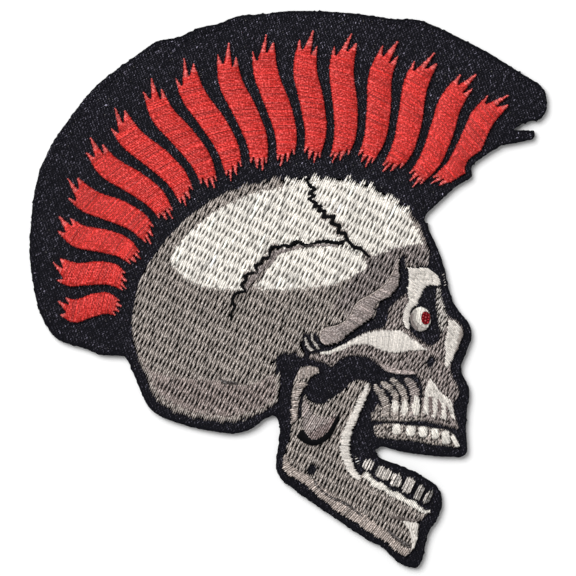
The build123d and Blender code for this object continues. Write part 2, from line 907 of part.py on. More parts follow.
for number, rows in enumerate(ALVEOLAR_RIDGES, start=1):
    ridge_area = fitted(strip_area(rows, percent_width, bend_round), panel_area, face_area)
    raised(f"alveolar_ridge_{number}", ridge_area, cloth_top, fill_height)

upper_teeth_area = fitted(table_area(UPPER_TEETH), panel_area, face_area)
raised("upper_teeth_fill", upper_teeth_area, cloth_top, fill_height)
for number, tooth in enumerate(UPPER_TEETH_FRONTS, start=1):
    raised(f"upper_tooth_{number}", fitted(tooth_area(*tooth), upper_teeth_area), fill_top, satin_height)

# The lower jaw, with the small hole near its angle left bare
jaw_area = fitted(table_area(JAW), panel_area)
raised("jaw_fill", pierced(jaw_area, oval_area(*JAW_FORAMEN)), cloth_top, fill_height)
shadow_area = fitted(table_area(RAMUS_SHADOW), jaw_area)
raised("ramus_shadow", shadow_area, fill_top, satin_height)
raised("ramus_hollow", fitted(table_area(RAMUS_HOLLOW), jaw_area, shadow_area), fill_top, satin_height)

branch_area = fitted(strip_area(RAMUS_HIGHLIGHT, percent_width, bend_round), jaw_area)
raised("ramus_highlight", branch_area, fill_top, satin_height)
gum_area = fitted(strip_area(GUM_HIGHLIGHT, percent_width, bend_round), jaw_area, branch_area)
raised("gum_highlight", gum_area, fill_top, satin_height)
chin_area = fitted(table_area(CHIN_HIGHLIGHT), jaw_area, gum_area)
raised("chin_highlight", chin_area, fill_top, satin_height)
jaw_ridge_area = fitted(strip_area(JAW_RIDGE, percent_width, bend_round), jaw_area, chin_area)
raised("jaw_ridge", jaw_ridge_area, fill_top, satin_height)

for number, tooth in enumerate(LOWER_TEETH, start=1):
    lower_tooth_area = fitted(tooth_area(*tooth), panel_area, jaw_area)
    raised(f"lower_tooth_{number}", lower_tooth_area, cloth_top, fill_height)
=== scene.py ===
"""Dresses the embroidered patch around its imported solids.

Every stitched area is built the way it is sewn. A plan of stitches is drawn inside the outline of
its solid, and one Geometry Nodes tree lays a thread along each stitch, over a low bed of the same
outline. Lengths are in metres, and +Z is out of the embroidered face.
"""

import logging
import math
from collections.abc import Iterator
from dataclasses import dataclass, replace
from enum import Enum
from functools import cached_property, partial

import bmesh
import bpy
import numpy as np
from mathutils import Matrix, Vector
from mathutils.geometry import delaunay_2d_cdt


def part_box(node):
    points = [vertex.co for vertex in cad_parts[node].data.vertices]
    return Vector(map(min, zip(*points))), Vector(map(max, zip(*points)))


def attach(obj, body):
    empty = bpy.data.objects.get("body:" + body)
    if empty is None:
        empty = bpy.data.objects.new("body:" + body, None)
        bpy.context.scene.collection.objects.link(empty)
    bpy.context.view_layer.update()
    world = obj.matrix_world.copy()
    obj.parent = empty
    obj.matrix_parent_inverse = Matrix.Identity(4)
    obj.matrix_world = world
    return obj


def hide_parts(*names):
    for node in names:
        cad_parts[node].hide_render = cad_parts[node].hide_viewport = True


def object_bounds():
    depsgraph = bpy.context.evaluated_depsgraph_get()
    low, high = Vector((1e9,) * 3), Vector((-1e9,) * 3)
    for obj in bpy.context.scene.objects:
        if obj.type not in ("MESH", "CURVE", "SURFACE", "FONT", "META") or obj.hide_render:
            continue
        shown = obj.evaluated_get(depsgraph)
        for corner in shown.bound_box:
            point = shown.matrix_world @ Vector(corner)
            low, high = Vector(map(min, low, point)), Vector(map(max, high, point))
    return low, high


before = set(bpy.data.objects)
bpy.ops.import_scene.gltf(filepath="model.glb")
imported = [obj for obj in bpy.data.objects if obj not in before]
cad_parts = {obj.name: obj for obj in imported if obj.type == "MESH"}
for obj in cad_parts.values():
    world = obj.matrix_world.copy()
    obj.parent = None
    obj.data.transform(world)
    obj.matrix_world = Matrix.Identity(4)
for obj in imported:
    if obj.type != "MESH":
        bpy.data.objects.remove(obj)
cad_low, cad_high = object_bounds()

log = logging.getLogger("patch")

MM = 0.001
WELD = 1e-7
INSIDE_ONLY = 1
TRIANGLE_WELD = 1e-6
Colour = tuple[float, float, float]
Span = tuple[float, float]
Value = bpy.types.NodeSocket | float | Colour


def paint(red: int, green: int, blue: int) -> Colour:
    """Turn a colour as a screen shows it, 0 to 255, into linear light.

    Args:
        red: The red share.
        green: The green share.
        blue: The blue share.

    Returns:
        The linear colour.
    """
    return tuple(((share / 255 + 0.055) / 1.055) ** 2.4 for share in (red, green, blue))


def put(name: str, data: bpy.types.ID) -> bpy.types.Object:
    """Put data into the scene as an object.

    Args:
        name: The object's name.
        data: Its mesh, lamp or camera.

    Returns:
        The object.
    """
    thing = bpy.data.objects.new(name, data)
    bpy.context.scene.collection.objects.link(thing)
    return thing


class Shade(Enum):
    """The threads' colours."""

    WHITE = paint(234, 229, 221)
    CREAM = paint(229, 223, 216)
    IVORY = paint(190, 183, 177)
    PALE = paint(165, 153, 146)
    # Pale specks on the black cloth: lint, and painted glints of sheen
    FLUFF_AND_GLINT = paint(152, 149, 147)
    UMBER = paint(104, 94, 90)
    ROSE = paint(186, 172, 168)
    SAND = paint(174, 161, 153)
    GREY = paint(161, 151, 144)
    MAUVE = paint(152, 140, 136)
    DUSK = paint(141, 130, 127)
    BLUSH = paint(153, 139, 134)
    DIM = paint(124, 108, 105)
    RED = paint(209, 43, 36)
    CORAL = paint(222, 96, 92)
    CRIMSON = paint(168, 22, 34)
    BLACK = paint(29, 28, 33)
    INK = paint(7, 7, 10)
    SHADOW = paint(62, 55, 53)


class Slot(Enum):
    """The record's material slots."""

    CLOTH = "black_cloth"
    BLACK = "black_thread"
    RED = "red_thread"
    GREY = "grey_thread"
    MAUVE = "mauve_thread"
    WHITE = "white_thread"
    IRIS = "iris_thread"


class Lie(Enum):
    """How the stitches of an area lie."""

    FILL = "rows of stitches of one length, each row half a stitch on from the last"
    ACROSS = "parallel satin stitches from edge to edge"
    RUNGS = "satin stitches that turn with a narrow area, like a ladder's rungs"


@dataclass(frozen=True)
class Sewing:
    """How thread is laid.

    Args:
        pitch: From one thread to the next.
        girth: Width of a thread.
        loft: Height of a thread over its bed.
        dip: Length over which a stitch goes down at each end.
        crown: Rise of a stitch's middle, as a share of its length.
        ragged: How far ends stray past the outline.
        fray: How much further some far ends stray, in or out.
        sway: How far a stitch's middle strays sideways, as a share of the girth.
        stitch: Length of a fill stitch, and the longest that a satin stitch across can be.
        scatter: How far the ends of fill stitches stray, as a share of their length.
        highlight_cord: Length of the pale stitches that edge the upper left side of rungs, as a
            painted highlight, or 0 for none.
        scallops: How many hollows that side has.
        jut: Depth of the hollows.
        bed_rise: Height of the bed over the threads' undersides, as a share of the loft.
    """

    pitch: float
    girth: float
    loft: float = 0.26 * MM
    dip: float = 0.3 * MM
    crown: float = 0.0
    ragged: float = 0.1 * MM
    fray: float = 0.0
    sway: float = 0.0
    stitch: float = 4.2 * MM
    scatter: float = 0.04
    highlight_cord: float = 0.0
    scallops: int = 0
    jut: float = 0.0
    bed_rise: float = 0.15


FILL_SEWING = Sewing(
    pitch=0.352 * MM, girth=0.32 * MM, loft=0.38 * MM, dip=1.0 * MM, crown=0.035, ragged=0.3 * MM,
    sway=0.08, stitch=3.72 * MM, bed_rise=-0.5,
)
CAP_SEWING = replace(FILL_SEWING, ragged=0.2 * MM, fray=1.4 * MM)
WHITE_SEWING = replace(
    FILL_SEWING, girth=0.37 * MM, loft=0.32 * MM, dip=0.8 * MM, crown=0.028, ragged=0.45 * MM,
    bed_rise=-0.3,
)
FACE_SEWING = Sewing(
    pitch=0.32 * MM, girth=0.295 * MM, loft=0.34 * MM, dip=0.7 * MM, crown=0.035, ragged=0.25 * MM,
    sway=0.1, stitch=2.4 * MM, scatter=0.1, bed_rise=-0.5,
)
GUM_SEWING = Sewing(
    pitch=0.3 * MM, girth=0.29 * MM, loft=0.3 * MM, dip=0.45 * MM, crown=0.04, ragged=0.2 * MM,
    sway=0.12, stitch=1.5 * MM, scatter=0.14, bed_rise=-0.5,
)
RIDGE_SEWING = Sewing(
    pitch=0.29 * MM, girth=0.27 * MM, crown=0.07, ragged=0.12 * MM, fray=0.25 * MM, sway=0.08,
    highlight_cord=0.8 * MM,
)
HOLLOW_SEWING = Sewing(pitch=0.34 * MM, girth=0.32 * MM, crown=0.05, ragged=0.35 * MM, sway=0.08)
SMOOTH_SEWING = Sewing(
    pitch=0.26 * MM, girth=0.25 * MM, loft=0.22 * MM, crown=0.03, ragged=0.36 * MM, sway=0.04,
    stitch=2.4 * MM,
)
SERRATED_SEWING = Sewing(
    pitch=0.29 * MM, girth=0.29 * MM, ragged=0.4 * MM, scallops=4, jut=0.85 * MM
)
LOOSE_SEWING = Sewing(pitch=0.29 * MM, girth=0.29 * MM, crown=0.05, ragged=0.45 * MM, sway=0.25)
ARC_SEWING = Sewing(pitch=0.26 * MM, girth=0.29 * MM, crown=0.04, ragged=0.55 * MM, sway=0.06)
LINE_SEWING = Sewing(pitch=0.25 * MM, girth=0.26 * MM, loft=0.12 * MM, dip=0.1 * MM)
FLECK_SEWING = Sewing(
    pitch=0.46 * MM, girth=0.14 * MM, loft=0.1 * MM, dip=0.2 * MM, ragged=0.25 * MM
)
IRIS_SEWING = Sewing(
    pitch=0.5 * MM, girth=0.36 * MM, dip=0.22 * MM, ragged=0.0, stitch=0.6 * MM, bed_rise=0.62
)
TOOTH_SEWING = Sewing(pitch=0.25 * MM, girth=0.25 * MM, dip=0.25 * MM, ragged=0.12 * MM, sway=0.05)
LOCK_SEWING = Sewing(
    pitch=0.26 * MM, girth=0.27 * MM, crown=0.05, ragged=0.2 * MM, sway=0.06, stitch=9.0 * MM,
    bed_rise=0.4,
)
SUTURE_SEWING = Sewing(
    pitch=0.25 * MM, girth=0.28 * MM, loft=0.2 * MM, dip=0.1 * MM, ragged=0.3 * MM
)
FLOAT_SEWING = Sewing(pitch=0.27 * MM, girth=0.24 * MM, loft=0.1 * MM, ragged=0.0)


class Recipe:
    """Adds nodes to a tree and links them, so that a tree reads as a recipe."""

    def __init__(self, tree: bpy.types.NodeTree) -> None:
        """Keep the tree that the nodes are added to.

        Args:
            tree: The tree.
        """
        self.tree = tree

    def add(self, kind: str, inputs: dict | None = None, **settings: object) -> bpy.types.Node:
        """Add a node.

        Args:
            kind: The node's type.
            inputs: A value or a socket for each input, by name or number.
            settings: The node's own settings.

        Returns:
            The node.
        """
        node = self.tree.nodes.new(kind)
        for name, value in settings.items():
            setattr(node, name, value)
        for key, value in (inputs or {}).items():
            socket = node.inputs[key]
            if isinstance(value, bpy.types.NodeSocket):
                self.tree.links.new(value, socket)
            else:
                socket.default_value = value
        return node

    def sum(self, operation: str, *values: Value) -> bpy.types.NodeSocket:
        """Work out a number from numbers."""
        kind = "ShaderNodeMath"
        return self.add(kind, dict(enumerate(values)), operation=operation).outputs[0]

    def vector(self, operation: str, *values: Value) -> bpy.types.NodeSocket:
        """Work out a vector from vectors."""
        kind = "ShaderNodeVectorMath"
        return self.add(kind, dict(enumerate(values)), operation=operation).outputs["Vector"]

    def scaled(self, vector: bpy.types.NodeSocket, scale: Value) -> bpy.types.NodeSocket:
        """Scale a vector by a number."""
        inputs = {0: vector, "Scale": scale}
        return self.add("ShaderNodeVectorMath", inputs, operation="SCALE").outputs["Vector"]

    def length(self, vector: bpy.types.NodeSocket) -> bpy.types.NodeSocket:
        """Give a vector's length."""
        return self.add("ShaderNodeVectorMath", {0: vector}, operation="LENGTH").outputs["Value"]

    def ranged(self, value: Value, given: Span, wanted: Span) -> bpy.types.NodeSocket:
        """Turn a number's place in a given range into the same place in the wanted one."""
        inputs = dict(enumerate((value, *given, *wanted)))
        return self.add("ShaderNodeMapRange", inputs).outputs[0]

    def named(self, name: str, kind: str = "FLOAT") -> bpy.types.NodeSocket:
        """Read a named attribute."""
        node = self.add("GeometryNodeInputNamedAttribute", {"Name": name}, data_type=kind)
        return node.outputs["Attribute"]

    def store(
        self, geometry: bpy.types.NodeSocket, name: str, value: Value, kind: str = "FLOAT"
    ) -> bpy.types.NodeSocket:
        """Store a named attribute on the points of a geometry."""
        inputs = {"Geometry": geometry, "Name": name, "Value": value}
        kinds = {"data_type": kind, "domain": "POINT"}
        return self.add("GeometryNodeStoreNamedAttribute", inputs, **kinds).outputs["Geometry"]


class StitchLayer:
    """The Geometry Nodes tree that lays a thread along each stitch of a plan.

    A plan is a mesh of loose points, one at the middle of each stitch, whose attributes say how the
    stitch runs. The thread's form is a unit mesh that runs from -1 to 1 along X, has a width of 1
    along Y and rises from 0 to 1 along Z.
    """

    def __init__(self, end_share: float = 0.9) -> None:
        """Build the tree.

        Args:
            end_share: The most that an end takes of half a stitch, as a share of it.
        """
        self.tree = bpy.data.node_groups.new("lay_stitches", "GeometryNodeTree")
        self.sockets = {}
        for name, kind in [
            ("Plan", "NodeSocketGeometry"),
            ("Form", "NodeSocketObject"),
            ("Thread", "NodeSocketMaterial"),
            ("Girth Spread", "NodeSocketFloat"),
            ("Seed", "NodeSocketInt"),
        ]:
            made = self.tree.interface.new_socket(name=name, in_out="INPUT", socket_type=kind)
            self.sockets[name] = made.identifier
        self.tree.interface.new_socket(
            name="Stitches", in_out="OUTPUT", socket_type="NodeSocketGeometry"
        )
        self.lay_out(end_share)

    def lay_out(self, end_share: float) -> None:
        """Add the tree's nodes.

        Args:
            end_share: The most that an end takes of half a stitch, as a share of it.
        """
        recipe = Recipe(self.tree)
        given = recipe.add("NodeGroupInput").outputs

        # Each stitch's girth strays a little
        low = recipe.sum("SUBTRACT", 1.0, given["Girth Spread"])
        high = recipe.sum("ADD", 1.0, given["Girth Spread"])
        stray = recipe.add(
            "FunctionNodeRandomValue", {2: low, 3: high, 8: given["Seed"]}, data_type="FLOAT"
        )
        girth = recipe.sum("MULTIPLY", recipe.named("girth"), stray.outputs[1])
        plan = recipe.store(given["Plan"], "girth", girth)

        form = recipe.add(
            "GeometryNodeObjectInfo", {"Object": given["Form"], "As Instance": True}
        )
        inputs = {"Points": plan, "Instance": form.outputs["Geometry"]}
        placed = recipe.add("GeometryNodeInstanceOnPoints", inputs).outputs["Instances"]
        realized = recipe.add("GeometryNodeRealizeInstances", {"Geometry": placed})

        # The unit form's own coordinates
        middle = recipe.named("middle", "FLOAT_VECTOR")
        here = recipe.add("GeometryNodeInputPosition").outputs["Position"]
        unit = recipe.add("ShaderNodeSeparateXYZ", {0: recipe.vector("SUBTRACT", here, middle)})
        along, side, rise = unit.outputs

        # Along the stitch, both ends keep their own length and the body takes the rest
        run = recipe.named("run", "FLOAT_VECTOR")
        half = recipe.sum("MULTIPLY", recipe.length(run), 0.5)
        longest = recipe.sum("MULTIPLY", half, end_share)
        end = recipe.sum("MINIMUM", recipe.named("dip"), longest)
        body = recipe.sum("SUBTRACT", half, end)
        twice = recipe.sum("MULTIPLY", recipe.sum("ABSOLUTE", along), 2.0)
        in_body = recipe.sum("MULTIPLY", body, recipe.sum("MINIMUM", twice, 1.0))
        past_body = recipe.sum("MAXIMUM", recipe.sum("SUBTRACT", twice, 1.0), 0.0)
        reach = recipe.sum("ADD", in_body, recipe.sum("MULTIPLY", past_body, end))
        travel = recipe.sum("MULTIPLY", reach, recipe.sum("SIGN", along))

        # The middle of the stitch rises over its bed
        share = recipe.sum("DIVIDE", reach, half)
        bow = recipe.sum("SUBTRACT", 1.0, recipe.sum("MULTIPLY", share, share))
        lift = recipe.sum("MULTIPLY", recipe.named("crown"), bow)
        height = recipe.sum("MULTIPLY_ADD", rise, recipe.named("loft"), lift)

        ahead = recipe.vector("NORMALIZE", run)
        aside = recipe.vector("NORMALIZE", recipe.vector("CROSS_PRODUCT", (0, 0, 1), ahead))
        up = recipe.add("ShaderNodeCombineXYZ", {"Z": height}).outputs[0]
        width = recipe.sum("MULTIPLY", side, recipe.named("girth"))
        width = recipe.sum("MULTIPLY_ADD", bow, recipe.named("sway"), width)
        place = recipe.vector("ADD", middle, recipe.scaled(ahead, travel))
        place = recipe.vector("ADD", place, recipe.scaled(aside, width))
        place = recipe.vector("ADD", place, up)
        shaped = recipe.add(
            "GeometryNodeSetPosition", {"Geometry": realized.outputs[0], "Position": place}
        )

        # What the finish follows: metres along, a turn around and how far down an end is, which its
        # painted shade reads
        lay = recipe.add("ShaderNodeCombineXYZ", {0: travel, 1: side, 2: past_body}).outputs[0]
        stored = recipe.store(shaped.outputs[0], "lay", lay, "FLOAT_VECTOR")
        inputs = {"Geometry": stored, "Material": given["Thread"]}
        dressed = recipe.add("GeometryNodeSetMaterial", inputs)
        recipe.add("NodeGroupOutput", {0: dressed.outputs[0]})


@dataclass(frozen=True)
class ThreadForm:
    """The unit form of a thread: a closed bar whose two ends narrow and go down.

    Args:
        name: The form's name.
        sections: Rows of (along, width, sink), from the middle to one end.
        profile: Rows of (side, rise) of a section, over the top from one side to the other.
    """

    name: str
    sections: tuple[tuple[float, float, float], ...]
    profile: tuple[Span, ...] = ((-0.5, 0.0), (-0.38, 0.66), (0.0, 1.0), (0.38, 0.66), (0.5, 0.0))

    def build(self) -> bpy.types.Object:
        """Build the form as an object that is never shown itself.

        Returns:
            The object.
        """
        ends = self.sections[:0:-1]
        rows = [(-along, width, sink) for along, width, sink in ends] + list(self.sections)
        points = [
            (along, side * width, rise * min(width, 1) - sink)
            for along, width, sink in rows
            for side, rise in self.profile
        ]
        sides = len(self.profile)
        faces = []
        for row in range(len(rows) - 1):
            for side in range(sides):
                after = (side + 1) % sides
                near, far = row * sides, (row + 1) * sides
                faces.append((near + side, near + after, far + after, far + side))
        faces.append(tuple(range(sides - 1, -1, -1)))
        faces.append(tuple(len(points) - sides + side for side in range(sides)))
        mesh = bpy.data.meshes.new(self.name)
        mesh.from_pydata(points, [], faces)
        mesh.polygons.foreach_set("use_smooth", [True] * len(mesh.polygons))
        return bpy.data.objects.new(self.name, mesh)


FILL_FORM = ThreadForm(
    "fill_form",
    sections=(
        (0.0, 1.24, 0.0), (0.25, 1.2, 0.0), (0.5, 1.06, 0.0), (0.63, 0.84, 0.14), (0.76, 0.5, 0.5),
        (1.0, 0.22, 0.85),
    ),
)
SATIN_FORM = ThreadForm(
    "satin_form",
    sections=((0.0, 1.0, 0.0), (0.5, 1.0, 0.0), (0.68, 0.86, 0.1), (0.86, 0.5, 0.42), (1.0, 0.3, 0.8)),
)
FLOAT_FORM = ThreadForm(
    "float_form",
    sections=((0.0, 1.0, 0.0), (1.0, 0.5, 0.5)),
    profile=((-0.5, 0.0), (0.0, 1.0), (0.5, 0.0)),
)


def loop_area(loop: np.ndarray) -> float:
    """Give a loop's area, which is below 0 where the loop runs clockwise."""
    after = np.roll(loop, -1, axis=0)
    return float((loop[:, 0] * after[:, 1] - after[:, 0] * loop[:, 1]).sum()) / 2


class Outline:
    """The flat outline of one or more solids, as closed loops of points."""

    def __init__(self, loops: list[np.ndarray]) -> None:
        """Keep the loops and their edges.

        Args:
            loops: Arrays of (x, y) points.
        """
        self.loops = sorted(loops, key=len, reverse=True)
        self.starts = np.concatenate(self.loops)
        self.ends = np.concatenate([np.roll(loop, -1, axis=0) for loop in self.loops])

    @classmethod
    def of(cls, *nodes: str) -> "Outline":
        """Read the outline of solids' undersides.

        Args:
            nodes: The solids' names.

        Returns:
            The outline.
        """
        loops = []
        for node in nodes:
            loops += cls.underside(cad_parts[node].data)
        return cls(loops)

    @staticmethod
    def underside(mesh: bpy.types.Mesh) -> list[np.ndarray]:
        """Find the loops round a mesh's flat underside.

        Args:
            mesh: The mesh.

        Returns:
            One array of (x, y) points for each loop.
        """
        mesh.calc_loop_triangles()
        points = np.empty(len(mesh.vertices) * 3, np.float32)
        mesh.vertices.foreach_get("co", points)
        points = points.reshape(-1, 3).astype(float)
        corners = np.empty(len(mesh.loop_triangles) * 3, np.int32)
        mesh.loop_triangles.foreach_get("vertices", corners)
        _, first, merged = np.unique(
            np.round(points / WELD).astype(np.int64), axis=0, return_index=True, return_inverse=True
        )
        corners = merged.reshape(-1)[corners].reshape(-1, 3)
        places = points[first]
        low = places[:, 2].min()
        flat = np.all(np.abs(places[corners][:, :, 2] - low) < 2 * WELD, axis=1)
        edges = {
            (int(a), int(b))
            for triangle in corners[flat]
            for a, b in zip(triangle, np.roll(triangle, -1))
        }
        following = {a: b for a, b in edges if (b, a) not in edges}
        loops = []
        while following:
            start, here = following.popitem()
            loop = [start]
            while here != start:
                loop.append(here)
                here = following.pop(here)
            loops.append(places[loop][:, :2])
        return loops

    @property
    def outer(self) -> np.ndarray:
        """The loop that reaches furthest, counter-clockwise."""
        loop = max(self.loops, key=lambda points: np.ptp(points, axis=0).sum())
        return loop if loop_area(loop) > 0 else loop[::-1]

    def contains(self, points: np.ndarray) -> np.ndarray:
        """Say which points lie inside.

        Args:
            points: An array of (x, y) points.

        Returns:
            True for each point inside.
        """
        inside = np.zeros(len(points), bool)
        low, high = self.starts.min(0), self.starts.max(0)
        near = np.flatnonzero(np.all((points > low) & (points < high), axis=1))
        x, y = points[near].T
        odd = np.zeros(len(near), bool)
        for (x0, y0), (x1, y1) in zip(self.starts, self.ends):
            if y0 != y1:
                crosses = (y0 > y) != (y1 > y)
                odd ^= crosses & (x < (x1 - x0) * (y - y0) / (y1 - y0) + x0)
        inside[near] = odd
        return inside

    def spans(self, rows: "Rows") -> dict[int, list[Span]]:
        """Cut rows by the outline.

        Args:
            rows: The rows.

        Returns:
            For each row's number, the stretches of it that lie inside.
        """
        start_along, start_across = self.starts @ rows.ahead, self.starts @ rows.aside
        end_along, end_across = self.ends @ rows.ahead, self.ends @ rows.aside
        first = math.floor(start_across.min() / rows.pitch)
        last = math.ceil(start_across.max() / rows.pitch)
        found = {}
        for row in range(first, last + 1):
            level = (row + 0.5) * rows.pitch
            crosses = (start_across > level) != (end_across > level)
            share = (level - start_across[crosses]) / (end_across - start_across)[crosses]
            cuts = start_along[crosses] + share * (end_along - start_along)[crosses]
            cuts = sorted(cuts.tolist())
            if cuts:
                found[row] = list(zip(cuts[::2], cuts[1::2]))
        return found


@dataclass(frozen=True)
class Rows:
    """Parallel rows over the patch.

    Args:
        angle: Their direction in degrees, counter-clockwise from +X.
        pitch: From one row to the next.
    """

    angle: float
    pitch: float

    @property
    def ahead(self) -> np.ndarray:
        """The direction along a row."""
        turn = math.radians(self.angle)
        return np.array([math.cos(turn), math.sin(turn)])

    @property
    def aside(self) -> np.ndarray:
        """The direction from one row to the next."""
        turn = math.radians(self.angle)
        return np.array([-math.sin(turn), math.cos(turn)])

    def point(self, row: float, along: float) -> np.ndarray:
        """Give a point on a row."""
        return self.ahead * along + self.aside * ((row + 0.5) * self.pitch)


def without(spans: list[Span], holes: list[Span], overlap: float) -> list[Span]:
    """Take stretches out of a row's stretches.

    Args:
        spans: The stretches that are kept.
        holes: The stretches that are taken out.
        overlap: How far the kept ones run on under what lies over the holes.

    Returns:
        What is left.
    """
    left = spans
    for low, high in holes:
        low, high = low + overlap, high - overlap
        if high > low:
            pieces = []
            for start, end in left:
                pieces += [(start, min(end, low)), (max(start, high), end)]
            left = [(start, end) for start, end in pieces if end > start]
    return left


class StitchPlan:
    """The stitches of one piece.

    Attributes:
        shortest: The length under which a stitch is left out, as a share of its girth.
    """

    shortest: float = 0.6

    def __init__(self, name: str, sewing: Sewing, top: float, seed: int) -> None:
        """Start an empty plan.

        Args:
            name: The piece's name.
            sewing: How its thread is laid.
            top: Height of the threads' tops.
            seed: The seed of all that strays.
        """
        self.name = name
        self.sewing = sewing
        self.level = top - sewing.loft
        self.seed = seed
        self.stray = np.random.default_rng(seed)
        self.stitches = []

    def add(self, start: np.ndarray, end: np.ndarray, tint: Colour, lift: float = 0.0) -> None:
        """Add a stitch, unless it is too short to show.

        Args:
            start: Where it starts.
            end: Where it ends.
            tint: Its colour.
            lift: How far it lies over the plan's level.
        """
        run = end - start
        length = float(np.hypot(*run))
        if length > self.sewing.girth * self.shortest:
            middle = (start + end) / 2
            self.stitches.append((*middle, self.level + lift, *run, 0.0, length, *tint))

    def points(self) -> bpy.types.Object:
        """Make the mesh of points that the tree lays its threads along.

        Returns:
            The mesh's object.
        """
        sewing = self.sewing
        table = np.array(self.stitches, np.float32)
        count = len(table)
        mesh = bpy.data.meshes.new(self.name + "_plan")
        mesh.vertices.add(count)
        mesh.vertices.foreach_set("co", table[:, :3].ravel())
        vectors = {"middle": table[:, :3], "run": table[:, 3:6], "tint": table[:, 7:10]}
        numbers = {
            "girth": np.full(count, sewing.girth),
            "loft": np.full(count, sewing.loft),
            "dip": np.full(count, sewing.dip),
            "crown": table[:, 6] * sewing.crown,
            "sway": self.stray.normal(0, 1, count) * sewing.sway * sewing.girth,
        }
        for kind, key, columns in (("FLOAT_VECTOR", "vector", vectors), ("FLOAT", "value", numbers)):
            for name, values in columns.items():
                attribute = mesh.attributes.new(name, kind, "POINT")
                attribute.data.foreach_set(key, np.ascontiguousarray(values, np.float32).ravel())
        return put(self.name + "_plan", mesh)


@dataclass(frozen=True)
class Tinter:
    """Strays a thread's colour from stitch to stitch.

    Args:
        shade: The colour.
        spread: How much its light strays.
        stray: Where the straying comes from.
        darkest: The least light of a stitch, as a share of the colour's.
    """

    shade: Shade
    spread: float
    stray: np.random.Generator
    darkest: float = 0.2

    def next(self) -> Colour:
        """Give the next stitch's colour."""
        light = 1 + self.stray.normal(0, self.spread)
        return tuple(np.clip(np.array(self.shade.value) * max(light, self.darkest), 0, 1))


def plain_material(
    name: str, roughness: float, gloss: float
) -> tuple[bpy.types.Material, Recipe, bpy.types.Node]:
    """Make a material that has only its shader.

    Args:
        name: The material's name.
        roughness: How matt it is.
        gloss: Strength of its mirror light.

    Returns:
        The material, the recipe that adds to its tree, and its shader.
    """
    material = bpy.data.materials.new(name)
    material.use_nodes = True
    shader = material.node_tree.nodes["Principled BSDF"]
    shader.inputs["Roughness"].default_value = roughness
    shader.inputs["Specular IOR Level"].default_value = gloss
    return material, Recipe(material.node_tree), shader


@dataclass(frozen=True)
class ThreadFinish:
    """Embroidery thread: two plies twisted together, with a soft sheen.

    Args:
        name: The material's name.
        roughness: How matt it is.
        sheen: Weight of the fibres' sheen.
        sheen_roughness: How broad the sheen is.
        ply_pitch: Length of one turn of the twist.
        ply_depth: Depth of the groove between the plies.
        ply_strength: How strongly that groove shows.
        grain: Size of the spots in which its light strays.
        grain_detail: How many finer layers the spots have.
        grain_depth: How much its light strays there.
        grain_range: The spots' values between which it strays.
        painted_glint: Painted highlight: white light that its brightest spots add.
        painted_glint_range: The spots' values between which that painted highlight grows.
        gloss: Strength of its mirror light.
        painted_flank_shade: Painted shade: how much darker its flanks are, where threads lie side by
            side.
        flank_range: Where across the thread that painted shade starts and ends.
        painted_end_shade: Painted shade: how much darker its ends are, where they go down.
        end_range: Where along an end that painted shade starts and ends.
    """

    name: str
    roughness: float = 0.55
    sheen: float = 0.1
    sheen_roughness: float = 0.4
    ply_pitch: float = 0.55 * MM
    ply_depth: float = 0.03 * MM
    ply_strength: float = 0.6
    grain: float = 0.45 * MM
    grain_detail: float = 3.0
    grain_depth: float = 0.25
    grain_range: Span = (0.3, 0.7)
    painted_glint: float = 0.0
    painted_glint_range: Span = (0.5, 0.72)
    gloss: float = 0.3
    painted_flank_shade: float = 0.55
    flank_range: Span = (0.15, 0.48)
    painted_end_shade: float = 0.0
    end_range: Span = (0.1, 0.65)

    def material(self) -> bpy.types.Material:
        """Build the material.

        Returns:
            The material.
        """
        material, recipe, shader = plain_material(self.name, self.roughness, self.gloss)
        shader.inputs["Sheen Weight"].default_value = self.sheen
        shader.inputs["Sheen Roughness"].default_value = self.sheen_roughness

        # The colour strays from spot to spot, and the brightest spots get a painted highlight
        tint = recipe.add("ShaderNodeAttribute", attribute_name="tint").outputs["Vector"]
        here = recipe.add("ShaderNodeTexCoord").outputs["Object"]
        inputs = {"Vector": here, "Scale": 1 / self.grain, "Detail": self.grain_detail}
        fibres = recipe.add("ShaderNodeTexNoise", inputs).outputs["Fac"]
        depths = (1 - self.grain_depth, 1 + self.grain_depth)
        light = recipe.ranged(fibres, self.grain_range, depths)
        # Painted highlight: white added where the spots are brightest
        bright = recipe.ranged(fibres, self.painted_glint_range, (0.0, self.painted_glint))
        spots = recipe.add("ShaderNodeCombineXYZ", {axis: bright for axis in range(3)})
        colour = recipe.vector("ADD", recipe.scaled(tint, light), spots.outputs[0])

        # Painted shade: flanks darken where threads lie side by side, and ends where they go down
        lay = recipe.add("ShaderNodeAttribute", attribute_name="lay").outputs["Vector"]
        along, around, down = recipe.add("ShaderNodeSeparateXYZ", {0: lay}).outputs
        side = recipe.sum("ABSOLUTE", around)
        flank = recipe.ranged(side, self.flank_range, (1.0, 1 - self.painted_flank_shade))
        end = recipe.ranged(down, self.end_range, (1.0, 1 - self.painted_end_shade))
        colour = recipe.scaled(colour, recipe.sum("MULTIPLY", flank, end))
        recipe.tree.links.new(colour, shader.inputs["Base Color"])

        turns = recipe.sum("MULTIPLY", along, 2 * math.pi / self.ply_pitch)
        phase = recipe.sum("MULTIPLY_ADD", around, 2 * math.pi, turns)
        inputs = {"Height": recipe.sum("SINE", phase), "Distance": self.ply_depth}
        bump = recipe.add("ShaderNodeBump", inputs | {"Strength": self.ply_strength})
        recipe.tree.links.new(bump.outputs[0], shader.inputs["Normal"])
        return material


